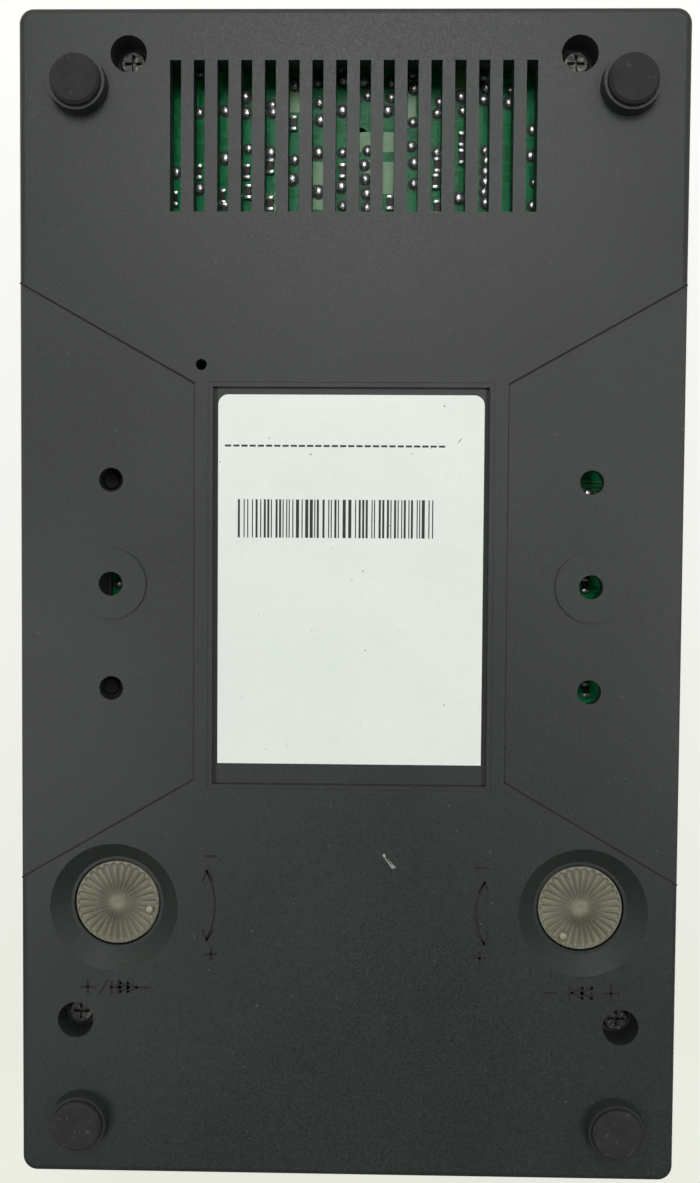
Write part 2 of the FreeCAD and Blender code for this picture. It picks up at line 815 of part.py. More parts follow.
def make_top_shell():
    """The cover: a wedge with openings for keys, sliders, lid, display and speaker."""
    body = new_body("top_shell")
    profile = sketch_on(body, "cover_profile", "YZ_Plane")
    draw_outline(profile, [
        (f"-{END}", "split_height"),
        (END, "split_height"),
        (END, "rear_height"),
        (BROW_Y, top_at(BROW_Y)),
        (f"-{END}", key_face_at(f"-{END}")),
    ])
    block = pad(body, "cover_block", profile, "case_width", both_ways=True)
    corners = round_edges(body, "cover_corners", block, "corner_round", is_upright)
    rim_low = number(key_face_at(f"-{END}")) - 0.01
    brow = number(BROW_Y)

    def on_top_rim(one, other):
        """An edge round the top, but not the brow line across it."""
        across_brow = abs(one.y - brow) < 1e-6 and abs(other.y - brow) < 1e-6
        return one.z > rim_low and other.z > rim_low and not across_brow

    rim = round_edges(body, "cover_rim", corners, "top_round", on_top_rim)
    bevel_edges(body, "cover_seam", rim, "seam_bevel", at_height("split_height"))
    inner_side = f"({SIDE} - shell_wall)"
    inner_end = f"({END} - shell_wall)"
    hollow = sketch_on(body, "cover_hollow", "YZ_Plane")
    draw_outline(hollow, [
        (f"-{inner_end}", "split_height - 1"),
        (inner_end, "split_height - 1"),
        (inner_end, f"{top_at(inner_end)} - shell_wall"),
        (BROW_Y, f"{top_at(BROW_Y)} - shell_wall"),
        (f"-{inner_end}", f"{key_face_at('-' + inner_end)} - shell_wall"),
    ])
    pocket(body, "cover_hollow_cut", hollow, f"2 * {inner_side}", both_ways=True)
    add_cover_lip(body)
    add_cover_bosses(body)
    cut_lid_opening(body)
    cut_key_opening(body)
    cut_slider_channels(body)
    cut_display_opening(body)
    cut_speaker_grille(body)


def add_cover_lip(body):
    """A lip inside each side wall that centres the cover on the base."""
    outer = f"({SIDE} - shell_wall - fit_gap)"
    for index, sign in enumerate(("", "-")):
        x = [f"{sign}({outer} - lip_thick)", f"{sign}{outer}"]
        if sign:
            x.reverse()
        add_box(body, f"cover_lip_{index}", x, ("lip_front", "lip_rear"),
                ("split_height - lip_drop", "split_height + lip_thick"))
        web = [f"{sign}({outer} - lip_thick)", f"{sign}({SIDE} - shell_wall / 2)"]
        if sign:
            web.reverse()
        add_box(body, f"cover_lip_root_{index}", web, ("lip_front", "lip_rear"),
                ("split_height", "split_height + lip_thick"))


def add_cover_bosses(body):
    """Screw bosses for the case, the deck, the key board and the display."""
    for index, (x, y) in enumerate(SCREW_PLACES):
        ceiling = top_at(y) if index % 2 == 0 else key_face_at(y)
        add_round(body, f"case_boss_{index}", (x, y, POST_TOP), f"{ceiling} - shell_wall / 2 - {POST_TOP}",
                  "boss_radius")
        cut_round(body, f"case_pilot_{index}", (x, y, f"{POST_TOP} - 1"), "screw_long",
                  "screw_radius + seat_gap")
    for index, (x, y) in enumerate(deck_boss_places()):
        add_small_boss(body, f"deck_boss_{index}", x, y, DECK_TOP, top_at(y), "deck_boss_radius")
    for index, (x, y) in enumerate(key_board_places()):
        face = key_face_at(y)
        add_small_boss(body, f"key_boss_{index}", x, y, KEY_BOARD_TOP, face, "stand_radius")
    for index, x in enumerate(display_boss_places()):
        add_small_boss(body, f"display_boss_{index}", x, DISPLAY_Y, display_board_top(), top_at(DISPLAY_Y),
                       "stand_radius")


def add_small_boss(body, name, x, y, low, ceiling, radius):
    """A boss that hangs from the cover, with a pilot hole for a small screw."""
    add_round(body, name, (x, y, low), f"{ceiling} - shell_wall / 2 - {low}", radius)
    cut_round(body, name + "_pilot", (x, y, f"{low} - 1"), "small_screw_long",
              "small_screw_radius + seat_gap")


def deck_boss_places():
    """Where the deck plate hangs from the cover."""
    rows = ("deck_boss_front", "deck_boss_rear")
    return [(f"{sign}deck_boss_across", y) for sign in ("", "-") for y in rows]


def key_board_places():
    """Where the key board hangs from the cover, outside the key row."""
    half = "(key_pitch * key_count / 2 - stand_radius)"
    rows = (f"({KEY_FRONT} - key_gap - key_flange - move_gap - stand_radius)",
            f"({KEY_REAR} + key_gap + key_flange + move_gap + stand_radius)")
    return [(f"{sign}{half}", y) for sign in ("", "-") for y in rows]


def display_board_top():
    """Height of the display board's upper face."""
    return f"({top_at(f'{DISPLAY_Y} - display_long / 2')} - shell_wall - module_drop - module_tall)"


def display_boss_places():
    """The two sides of the display board."""
    reach = "(display_board_wide / 2 - stand_radius)"
    return [f"(display_across - {reach})", f"(display_across + {reach})"]


def cut_lid_opening(body):
    """The opening for the lid, with ears for the hinge pin and a ledge for the front edge."""
    half = f"({LID_HALF} + lid_gap)"
    front = "(lid_front - lid_gap)"
    rear = f"({LID_REAR} + lid_gap)"
    pin_height = lid_pin_height()
    for index, sign in enumerate(("", "-")):
        x = [f"{sign}{half}", f"{sign}({half} + ear_thick)"]
        if sign:
            x.reverse()
        add_box(body, f"hinge_ear_{index}", x, ("lid_hinge - barrel_radius", "lid_hinge + barrel_radius"),
                (f"{pin_height} - barrel_radius", f"{top_at('lid_hinge - barrel_radius')} - shell_wall / 2"))
    add_box(body, "lid_ledge", (f"-{LID_HALF}", LID_HALF), (f"{front} - ledge_wide", f"{front} + ledge_wide"),
            (f"{LEDGE_TOP} - ledge_wide", LEDGE_TOP))
    sketch = sketch_on(body, "lid_opening", "XY_Plane", offset="rear_height + 1")
    draw_rectangle(sketch, (f"-{half}", half), (front, rear))
    pocket(body, "lid_opening_cut", sketch, f"rear_height + 1 - {LEDGE_TOP}", along_normal=False)
    below = sketch_on(body, "lid_opening_below", "XY_Plane", offset=pin_height)
    draw_rectangle(below, (f"-{half}", half), (f"{front} + ledge_wide", rear))
    pocket(body, "lid_opening_below_cut", below, "barrel_radius * 2")
    for index, sign in enumerate(("", "-")):
        start = f"{half} - 1" if not sign else f"-({half} + ear_thick + 1)"
        cut_round(body, f"hinge_bore_{index}", (start, "lid_hinge", pin_height), "ear_thick + 2",
                  "hinge_pin_radius + seat_gap", axis="X")


def lid_pin_height():
    """Height of the lid's hinge line, one barrel radius below the top face."""
    return f"({top_at('lid_hinge')} - barrel_radius)"


def cut_key_opening(body):
    """One opening for the whole key row."""
    half = "((key_count - 1) * key_pitch / 2 + key_width / 2 + key_gap)"
    cut_box(body, "key_opening", (f"-{half}", half), (f"{KEY_FRONT} - key_gap", f"{KEY_REAR} + key_gap"),
            (f"{KEY_FLANGE_TOP}", "rear_height + 1"))


def channel_floor_height():
    """Height of the flat floor of the slider channels."""
    return f"({top_at(SLIDER_Y)} - channel_deep)"


def cut_slider_channels(body):
    """Two sunk channels with a level floor and a slot for the slider's stem."""
    level = channel_floor_height()
    for index, sign in enumerate(("", "-")):
        middle = f"({sign}slider_across)"
        half_long = "(channel_half_long + shell_wall)"
        half_wide = "(channel_half_wide + shell_wall)"
        add_box(body, f"channel_back_{index}", (f"{middle} - {half_long}", f"{middle} + {half_long}"),
                (f"{SLIDER_Y} - {half_wide}", f"{SLIDER_Y} + {half_wide}"),
                (f"{level} - channel_floor", f"{level} + channel_deep / 2"))
        cut_box(body, f"channel_{index}", (f"{middle} - channel_half_long", f"{middle} + channel_half_long"),
                (f"{SLIDER_Y} - channel_half_wide", f"{SLIDER_Y} + channel_half_wide"),
                (level, "rear_height + 1"))
        reach = "(slider_half_travel + slider_stem_half + move_gap)"
        cut_box(body, f"channel_slot_{index}", (f"{middle} - {reach}", f"{middle} + {reach}"),
                (f"{SLIDER_Y} - slot_half_wide", f"{SLIDER_Y} + slot_half_wide"),
                (f"{level} - channel_floor - 1", f"{level} + 1"))


def cut_display_opening(body):
    """A sloped seat for the display window over a smaller opening, and the lamp's hole."""
    seat = sketch_on(body, "window_seat", "YZ_Plane", offset="display_across")
    low = f"({DISPLAY_Y} - display_long / 2 - fit_gap)"
    high = f"({DISPLAY_Y} + display_long / 2 + fit_gap)"
    draw_outline(seat, [
        (low, f"{top_at(low)} - window_thick"),
        (high, f"{top_at(high)} - window_thick"),
        (high, f"{top_at(high)} + 1"),
        (low, f"{top_at(low)} + 1"),
    ])
    pocket(body, "window_seat_cut", seat, "display_wide + 2 * fit_gap", both_ways=True)
    half = "(display_wide / 2 - display_ledge)"
    cut_box(body, "display_opening", (f"display_across - {half}", f"display_across + {half}"),
            (f"{DISPLAY_Y} - display_long / 2 + display_ledge",
             f"{DISPLAY_Y} + display_long / 2 - display_ledge"),
            (f"{top_at(low)} - shell_wall - 1", "rear_height + 1"))
    cut_round(body, "lens_hole", ("lens_across", f"{END} - lens_from_rear", "rear_height - shell_wall * 2"),
              "shell_wall * 3", "lens_radius + fit_gap")


def cut_speaker_grille(body):
    """A ring that the speaker hangs from, and slots whose ends follow a circle."""
    low = speaker_seat()
    ring = "(speaker_radius - speaker_flange)"
    add_round(body, "speaker_ring", ("speaker_across", SPEAKER_Y, low),
              f"{top_at(SPEAKER_Y)} - shell_wall / 2 - {low}", "speaker_radius + speaker_flange")
    cut_round(body, "speaker_ring_bore", ("speaker_across", SPEAKER_Y, f"{low} - 1"),
              f"{top_at(f'{SPEAKER_Y} - speaker_radius')} - shell_wall + 1 - {low}", ring)
    for row in range(-4, 5):
        y = f"({SPEAKER_Y} + {row} * grille_pitch)"
        reach = f"sqrt(grille_radius * grille_radius - {row * row} * grille_pitch * grille_pitch)"
        cut_box(body, f"grille_{row + 4}", (f"speaker_across - {reach}", f"speaker_across + {reach}"),
                (f"{y} - grille_width / 2", f"{y} + grille_width / 2"), (f"{low} + 0.5", "rear_height + 1"))


def speaker_seat():
    """Height of the face that the speaker's flange is clamped to."""
    return f"({top_at(f'{SPEAKER_Y} - speaker_radius')} - speaker_drop)"


def make_rating_label():
    """The bare white label: rounded at its rear corners, square at the front ones."""
    body = new_body("rating_label")
    sketch = sketch_on(body, "label_outline", offset=f"{UNDER} + recess_deep - label_thick")
    half = "(label_width / 2)"
    draw_rectangle(sketch, (f"-{half}", half),
                   ("label_middle - label_long / 2", "label_middle + label_long / 2"))
    sheet_pad = pad(body, "label_sheet", sketch, "label_thick")
    rear = number("label_middle")
    round_edges(body, "label_corners", sheet_pad, "label_corner",
                lambda one, other: is_upright(one, other) and one.y > rear)


def make_rubber_feet():
    """Four round feet, bevelled where they meet the desk."""
    feet = []
    for index, (x, y) in enumerate(FOOT_PLACES):
        drum = cylinder(f"foot_drum_{index}", (x, y, "foot_bevel"), "foot_proud + foot_sunk - foot_bevel",
                        "foot_radius")
        toe = cone(f"foot_toe_{index}", (x, y, "0"), "foot_bevel", "foot_radius - foot_bevel", "foot_radius")
        feet.append(fuse(f"foot_{index}", drum, toe))
    keep(group("rubber_feet", *feet), "rubber_feet")


def make_case_screws():
    """Four long screws with a cross recess, heads down in the wells."""
    screws = []
    slot_half = "(screw_radius / 5)"
    slot_reach = "(screw_head_radius * 0.6)"
    for index, (x, y) in enumerate(SCREW_PLACES):
        head_low = f"({WELL_TOP} - screw_head_tall)"
        head = cone(f"screw_head_{index}", (x, y, head_low), "screw_head_tall", "screw_head_radius * 0.8",
                    "screw_head_radius")
        shank = cylinder(f"screw_shank_{index}", (x, y, head_low), "screw_long", "screw_radius")
        slots = []
        for name, wide, long in (("along", slot_half, slot_reach), ("across", slot_reach, slot_half)):
            slots.append(box(f"screw_slot_{name}_{index}", (f"{x} - {wide}", f"{x} + {wide}"),
                             (f"{y} - {long}", f"{y} + {long}"),
                             (f"{head_low} - 1", f"{head_low} + screw_head_tall * 0.55")))
        screws.append(cut(f"case_screw_{index}", fuse(f"screw_blank_{index}", head, shank), *slots))
    keep(group("case_screws", *screws), "case_screws")


def make_trimmer_knob(label, sign):
    """A thumb knob: a domed face with radial flutes, a pip, a dimple and a stem."""
    body = new_body(label)
    profile = sketch_on(body, label + "_profile", "XZ_Plane")
    stem_top = f"({BOARD_TOP} + pot_tall - pot_floor)"
    draw_dome(profile, "knob_dome", "knob_rim_radius", [
        ("knob_radius - pip_tall", "0"),
        ("knob_radius", "pip_tall"),
        ("knob_radius", "knob_thick"),
        ("stem_radius", "knob_thick"),
        ("stem_radius", f"{stem_top} - {LIP_LOW} - seat_gap"),
        ("0", f"{stem_top} - {LIP_LOW} - seat_gap"),
    ])
    turned = body.newObject("PartDesign::Revolution", label + "_turned")
    turned.Profile = profile
    turned.ReferenceAxis = (profile, ["V_Axis"])
    turned.Angle = 360
    flute = body.newObject("PartDesign::SubtractiveCone", label + "_flute")
    size_round(flute, ("knob_hub_radius + flute_margin", "0", "-knob_dome + flute_lift"),
               "knob_rim_radius - knob_hub_radius - 2 * flute_margin",
               ("flute_inner", "flute_outer"), axis="X")
    ring = body.newObject("PartDesign::PolarPattern", label + "_flutes")
    ring.Originals = [flute]
    ring.Axis = (next(axis for axis in body.Origin.OriginFeatures if axis.Role == "Z_Axis"), [""])
    ring.Angle = 360
    ring.Occurrences = int(number("flute_count"))
    body.Tip = ring
    turn = f"({label}_flute * 360 / flute_count)"
    add_round(body, label + "_pip", (f"pip_reach * cos({turn})", f"pip_reach * sin({turn})", "-pip_tall"),
              "pip_tall + knob_thick / 2", "pip_radius")
    cut_round(body, label + "_dimple", ("0", "0", "-knob_dome - 1"), "1 + pip_tall", "dimple_radius")
    place(body, f"{sign}{CRATER_X}", CRATER_Y, LIP_LOW)


def make_trimmer_potentiometer(label, sign):
    """The potentiometer on the board that carries the knob's stem."""
    x = f"({sign}{CRATER_X})"
    case = box(label + "_case", (f"{x} - pot_side / 2", f"{x} + pot_side / 2"),
               (f"{CRATER_Y} - pot_side / 2", f"{CRATER_Y} + pot_side / 2"),
               (BOARD_TOP, f"{BOARD_TOP} + pot_tall"))
    bore = cylinder(label + "_bore", (x, CRATER_Y, f"{BOARD_TOP} - 1"), "pot_tall - pot_floor + 1",
                    "stem_radius + run_gap")
    keep(cut(label, case, bore), label)


# Electronics
def make_main_board():
    """The main board, notched round the screw posts and drilled for the knobs and screws."""
    body = new_body("main_board")
    sketch = sketch_on(body, "board_outline", offset=BOARD_LOW)
    half = f"({SIDE} - shell_wall - board_side_gap)"
    draw_rectangle(sketch, (f"-{half}", half),
                   (f"board_from_front - {END}", f"{END} - shell_wall - board_rear_gap"))
    pad(body, "board_sheet", sketch, "board_thick")
    for index, (x, y) in enumerate(SCREW_PLACES):
        cut_round(body, f"board_notch_{index}", (x, y, f"{BOARD_LOW} - 1"), "board_thick + 2",
                  "well_radius + post_wall + move_gap")
    for index, (x, y) in enumerate(stand_places()):
        cut_round(body, f"board_hole_{index}", (x, y, f"{BOARD_LOW} - 1"), "board_thick + 2",
                  "small_screw_radius + seat_gap")
    for index, sign in enumerate(("", "-")):
        cut_round(body, f"board_knob_hole_{index}", (f"{sign}{CRATER_X}", CRATER_Y, f"{BOARD_LOW} - 1"),
                  "board_thick + 2", "stem_radius + knob_gap * 2")
    cut_round(body, "board_spare_hole", ("spare_hole_across", "spare_hole_along", f"{BOARD_LOW} - 1"),
              "board_thick + 2", "spare_hole_radius")


def small_screw(name, x, y, seat, upward):
    """A small pan-head screw through a board or plate, driven down, or up where it hangs."""
    head_low = f"({seat} - small_head_tall)" if upward else f"({seat})"
    head = cylinder(name + "_head", (x, y, head_low), "small_head_tall", "small_head_radius")
    shank_low = f"({seat} - fit_gap)" if upward else f"({seat} - small_screw_long + fit_gap)"
    shank = cylinder(name + "_shank", (x, y, shank_low), "small_screw_long", "small_screw_radius")
    return fuse(name, head, shank)


def make_board_screws():
    """Screws of the main board, the key board and the display board."""
    screws = [small_screw(f"main_board_screw_{index}", x, y, BOARD_TOP, False)
              for index, (x, y) in enumerate(stand_places())]
    screws += [small_screw(f"key_board_screw_{index}", x, y, "key_board_height", True)
               for index, (x, y) in enumerate(key_board_places())]
    under_display = f"{display_board_top()} - board_thick"
    screws += [small_screw(f"display_screw_{index}", x, DISPLAY_Y, under_display, True)
               for index, x in enumerate(display_boss_places())]
    keep(group("board_screws", *screws), "board_screws")


# Each can: its place on the board, its radius and its height
CAPACITORS = [
    (-50, 92, 5.0, 14),
    (-37, 94, 4.0, 11),
    (-50, 78, 4.0, 12),
    (-39, 82, 3.2, 9),
    (50, 84, 5.0, 13),
]
# Each chip: its place on the board and its length
CIRCUITS = [(-24, 64, 22), (4, 70, 18), (-40, 30, 22), (44, 20, 18), (-42, -8, 10)]


def make_electrolytic_capacitors():
    """Upright cans on the main board."""
    cans = [cylinder(f"can_{index}", (x, y, BOARD_TOP), tall, radius)
            for index, (x, y, radius, tall) in enumerate(CAPACITORS)]
    keep(group("electrolytic_capacitors", *cans), "electrolytic_capacitors")


def make_integrated_circuits():
    """Flat chip packages on the main board."""
    chips = [box(f"chip_{index}", (x - long / 2, x + long / 2),
                 (f"{y} - chip_wide / 2", f"{y} + chip_wide / 2"), (BOARD_TOP, f"{BOARD_TOP} + chip_tall"))
             for index, (x, y, long) in enumerate(CIRCUITS)]
    keep(group("integrated_circuits", *chips), "integrated_circuits")


def make_heat_sink():
    """A finned sink with the voltage regulator clamped to its face."""
    left = "(sink_across - sink_wide / 2)"
    back = "(sink_face + sink_base_thick)"
    rise = (BOARD_TOP, f"{BOARD_TOP} + sink_tall")
    base = box("sink_base", (left, f"{left} + sink_wide"), ("sink_face", back), rise)
    fins = []
    for index in range(int(number("fin_count"))):
        x = f"({left} + {index} * (sink_wide - fin_thick) / (fin_count - 1))"
        fins.append(box(f"sink_fin_{index}", (x, f"{x} + fin_thick"), (back, f"{back} + fin_long"), rise))
    keep(fuse("heat_sink", base, *fins), "heat_sink")
    foot = f"({BOARD_TOP} + leg_long)"
    body = box("regulator_body", ("sink_across - regulator_wide / 2", "sink_across + regulator_wide / 2"),
               ("sink_face - regulator_thick", "sink_face"), (foot, f"{foot} + regulator_tall"))
    legs = []
    y = "(sink_face - regulator_thick / 2)"
    for index in range(3):
        x = f"(sink_across + ({index} - 1) * leg_pitch)"
        legs.append(box(f"regulator_leg_{index}", (f"{x} - leg_side / 2", f"{x} + leg_side / 2"),
                        (f"{y} - leg_side / 2", f"{y} + leg_side / 2"), (BOARD_TOP, foot)))
    keep(fuse("voltage_regulator", body, *legs), "voltage_regulator")


def make_sockets():
    """Power inlet, foot-control socket and headphone socket, on the board's rear edge."""
    mouth = f"({END} - shell_wall * 0.2)"
    back = f"({mouth} - socket_long)"
    half = "(power_wide / 2)"
    shell = box("power_case", (f"power_across - {half}", f"power_across + {half}"), (back, mouth),
                (BOARD_TOP, f"{BOARD_TOP} + power_tall"))
    cavity_low = f"({BOARD_TOP} + (power_tall - power_cavity_tall) / 2)"
    cavity = box("power_cavity",
                 ("power_across - power_cavity_wide / 2", "power_across + power_cavity_wide / 2"),
                 (f"{mouth} - power_cavity_deep", f"{mouth} + 1"),
                 (cavity_low, f"{cavity_low} + power_cavity_tall"))
    pins = []
    for index, sign in enumerate("+-"):
        root = (f"power_across {sign} power_pin_pitch / 2", f"{mouth} - power_cavity_deep - 1",
                f"{BOARD_TOP} + power_tall / 2")
        pins.append(cylinder(f"power_pin_{index}", root, "power_pin_long + 1", "power_pin_radius", axis="Y"))
    keep(fuse("power_socket", cut("power_hollow", shell, cavity), *pins), "power_socket")
    half = "(foot_socket_wide / 2)"
    shell = box("foot_case", (f"-{half}", half), (back, mouth),
                (BOARD_TOP, f"{BOARD_TOP} + foot_socket_tall"))
    cavity_low = f"({BOARD_TOP} + (foot_socket_tall - foot_cavity_tall) / 2)"
    cavity = box("foot_cavity", ("-foot_cavity_wide / 2", "foot_cavity_wide / 2"),
                 (f"{mouth} - foot_cavity_deep", f"{mouth} + 1"),
                 (cavity_low, f"{cavity_low} + foot_cavity_tall"))
    notch = box("foot_notch", ("-foot_cavity_wide / 4", "foot_cavity_wide / 4"),
                (f"{mouth} - foot_cavity_deep / 2", f"{mouth} + 1"),
                (cavity_low, f"{cavity_low} + foot_cavity_tall + 1"))
    keep(cut("foot_control_socket", shell, cavity, notch), "foot_control_socket")
    axis_height = f"({BOARD_TOP} + jack_side / 2)"
    case = box("jack_case", ("jack_across - jack_side / 2", "jack_across + jack_side / 2"),
               (back, f"{END} - shell_wall - socket_wall_gap"), (BOARD_TOP, f"{BOARD_TOP} + jack_side"))
    nose = cylinder("jack_nose", ("jack_across", f"{END} - shell_wall - 1", axis_height),
                    f"{mouth} - {END} + shell_wall + 1", "jack_nose_radius", axis="Y")
    bore = cylinder("jack_bore", ("jack_across", f"{mouth} - jack_bore_deep", axis_height),
                    "jack_bore_deep + 1", "jack_bore_radius", axis="Y")
    keep(cut("headphone_socket", fuse("jack_solid", case, nose), bore), "headphone_socket")


def make_display():
    """Window, display module and its board, hung under the cover."""
    body = new_body("display_window")
    sketch = sketch_on(body, "window_profile", "YZ_Plane", offset="display_across")
    low = f"({DISPLAY_Y} - display_long / 2)"
    high = f"({DISPLAY_Y} + display_long / 2)"
    draw_outline(sketch, [
        (low, f"{top_at(low)} - window_thick"),
        (high, f"{top_at(high)} - window_thick"),
        (high, top_at(high)),
        (low, top_at(low)),
    ])
    pad(body, "window_sheet", sketch, "display_wide", both_ways=True)
    top = display_board_top()
    half = "(display_wide / 2 - display_ledge)"
    module = box("display_module", (f"display_across - {half}", f"display_across + {half}"),
                 (f"{low} + display_ledge", f"{high} - display_ledge"), (top, f"{top} + module_tall"))
    keep(module, "display_module")
    half = "(display_board_wide / 2)"
    board = box("display_sheet", (f"display_across - {half}", f"display_across + {half}"),
                (f"{low} - display_ledge", f"{high} + display_ledge"), (f"{top} - board_thick", top))
    holes = [cylinder(f"display_board_hole_{index}", (x, DISPLAY_Y, f"{top} - board_thick - 1"),
                      "board_thick + 2", "small_screw_radius + seat_gap")
             for index, x in enumerate(display_boss_places())]
    keep(cut("display_board", board, *holes), "display_board")
    lens_y = f"({END} - lens_from_rear)"
    lens_foot = ("lens_across", lens_y, f"{top_at(lens_y)} - lens_long")
    lens = cylinder("lens_rod", lens_foot, "lens_long", "lens_radius")
    flange = cylinder("lens_flange", lens_foot, "lens_long - shell_wall - move_gap", "lens_radius * 1.6")
    keep(fuse("power_lens", lens, flange), "power_lens")


def make_speaker():
    """Basket, magnet and paper cone under the grille."""
    top = speaker_seat()
    seat = f"({top} - speaker_flange)"
    foot = f"({seat} - speaker_deep)"
    rim = cylinder("speaker_rim", ("speaker_across", SPEAKER_Y, seat), "speaker_flange", "speaker_radius")
    basket = cone("speaker_bowl", ("speaker_across", SPEAKER_Y, foot), "speaker_deep", "magnet_radius",
                  "cone_radius + speaker_flange")
    hollow = cone("speaker_hollow", ("speaker_across", SPEAKER_Y, f"{foot} + speaker_flange"),
                  "speaker_deep + 0.01", "magnet_radius - speaker_flange", "cone_radius")
    keep(cut("speaker_frame", fuse("speaker_solid", rim, basket), hollow), "speaker_frame")
    keep(cylinder("speaker_magnet", ("speaker_across", SPEAKER_Y, f"{foot} - magnet_tall"), "magnet_tall",
                  "magnet_radius"), "speaker_magnet")
    wall = "speaker_flange / 2"
    low = f"({top} - cone_deep)"
    outer = cone("cone_outer", ("speaker_across", SPEAKER_Y, low), f"cone_deep - {wall}", "cone_throat",
                 "cone_radius - speaker_flange")
    inner = cone("cone_inner", ("speaker_across", SPEAKER_Y, f"{low} + {wall}"), f"cone_deep - {wall}",
                 f"cone_throat - {wall}", f"cone_radius - speaker_flange - {wall}")
    coil = cylinder("cone_coil", ("speaker_across", SPEAKER_Y, f"{foot} + speaker_flange"),
                    f"{low} + {wall} - {foot} - speaker_flange", "cone_throat")
    keep(fuse("speaker_cone", cut("cone_paper", outer, inner), coil), "speaker_cone")


# Lid
def make_cassette_lid():
    """The lid: a sloped plate with a hinge barrel, a glazed opening and a finger grip."""
    body = new_body("cassette_lid")
    pin_height = lid_pin_height()
    sketch = sketch_on(body, "lid_profile", "YZ_Plane")
    draw_outline(sketch, [
        ("lid_front", f"{top_at('lid_front')} - lid_thick"),
        ("lid_hinge", f"{top_at('lid_hinge')} - lid_thick"),
        ("lid_hinge", top_at("lid_hinge")),
        ("lid_front", top_at("lid_front")),
    ])
    plate = pad(body, "lid_plate", sketch, "lid_width", both_ways=True)
    front = number("lid_front")
    round_edges(body, "lid_front_corners", plate, "corner_round / 2",
                lambda one, other: is_upright(one, other) and abs(one.y - front) < 1e-6)
    add_round(body, "lid_barrel", (f"-{LID_HALF}", "lid_hinge", pin_height), "lid_width", "barrel_radius",
              axis="X")
    cut_round(body, "lid_bore", (f"-{LID_HALF} - 1", "lid_hinge", pin_height), "lid_width + 2",
              "hinge_pin_radius + run_gap", axis="X")
    seat = sketch_on(body, "glass_seat", "YZ_Plane")
    low = "(glass_front - fit_gap)"
    high = "(glass_front + glass_long + fit_gap)"
    draw_outline(seat, [
        (low, f"{top_at(low)} - glass_thick"),
        (high, f"{top_at(high)} - glass_thick"),
        (high, f"{top_at(high)} + 1"),
        (low, f"{top_at(low)} + 1"),
    ])
    pocket(body, "glass_seat_cut", seat, "glass_wide + 2 * fit_gap", both_ways=True)
    cut_box(body, "glass_opening", ("-glass_wide / 2 + glass_lap", "glass_wide / 2 - glass_lap"),
            ("glass_front + glass_lap", "glass_front + glass_long - glass_lap"),
            (f"{top_at(low)} - lid_thick - 1", "rear_height + 1"))
    cut_round(body, "finger_grip",
              ("-grip_wide / 2", "lid_front", f"{top_at('lid_front')} + barrel_radius * 0.4"),
              "grip_wide", "barrel_radius * 0.8", axis="X")


def make_lid_window():
    """The smoked pane in the lid."""
    body = new_body("lid_window")
    sketch = sketch_on(body, "pane_profile", "YZ_Plane")
    low = "glass_front"
    high = "(glass_front + glass_long)"
    draw_outline(sketch, [
        (low, f"{top_at(low)} - glass_thick"),
        (high, f"{top_at(high)} - glass_thick"),
        (high, top_at(high)),
        (low, top_at(low)),
    ])
    pad(body, "pane_sheet", sketch, "glass_wide", both_ways=True)


def make_lid_hinge_pin():
    """The steel pin through the lid's barrel and the cover's ears."""
    reach = f"({LID_HALF} + lid_gap + ear_thick)"
    keep(cylinder("lid_hinge_pin", (f"-{reach}", "lid_hinge", lid_pin_height()), f"2 * {reach}",
                  "hinge_pin_radius", axis="X"), "lid_hinge_pin")


# Deck
def make_deck_plate():
    """The steel plate that carries the drive, with the posts of both reels and the pinch arm."""
    body = new_body("deck_plate")
    sketch = sketch_on(body, "deck_outline", offset="deck_height")
    draw_rectangle(sketch, ("-deck_half_width", "deck_half_width"), ("deck_front", "deck_rear"))
    pad(body, "deck_sheet", sketch, "deck_thick")
    for index, sign in enumerate(("", "-")):
        x = f"{sign}reel_half_pitch"
        add_round(body, f"reel_shoulder_{index}", (x, "reel_along", "deck_height"),
                  "turntable_low - run_gap - deck_height", "reel_post_radius * 2")
        add_round(body, f"reel_post_{index}", (x, "reel_along", "deck_height"),
                  "spindle_top - arm_thick - deck_height", "reel_post_radius")
    add_round(body, "pinch_shoulder", ("pinch_pivot_across", "pinch_pivot_along", "deck_height"),
              f"{ARM_LOW} - run_gap - deck_height", "pinch_pivot_radius * 1.6")
    add_round(body, "pinch_post", ("pinch_pivot_across", "pinch_pivot_along", "deck_height"),
              f"{ARM_TOP} + pinch_arm_thick - deck_height", "pinch_pivot_radius")
    cut_round(body, "bearing_hole", ("capstan_across", "capstan_along", "deck_height - 1"), "deck_thick + 2",
              "bearing_radius + seat_gap")
    cut_round(body, "motor_hole", ("motor_across", "motor_along", "deck_height - 1"), "deck_thick + 2",
              "pulley_radius")
    cut_round(body, "reel_motor_hole", ("0", "reel_motor_along", "deck_height - 1"), "deck_thick + 2",
              "pinion_radius + move_gap")
    for index, (x, y) in enumerate(deck_boss_places()):
        cut_round(body, f"deck_screw_hole_{index}", (x, y, "deck_height - 1"), "deck_thick + 2",
                  "small_screw_radius + seat_gap")


def make_deck_screws():
    """Four screws that hold the deck plate to the cover's bosses."""
    screws = [small_screw(f"deck_screw_{index}", x, y, "deck_height", True)
              for index, (x, y) in enumerate(deck_boss_places())]
    keep(group("deck_screws", *screws), "deck_screws")


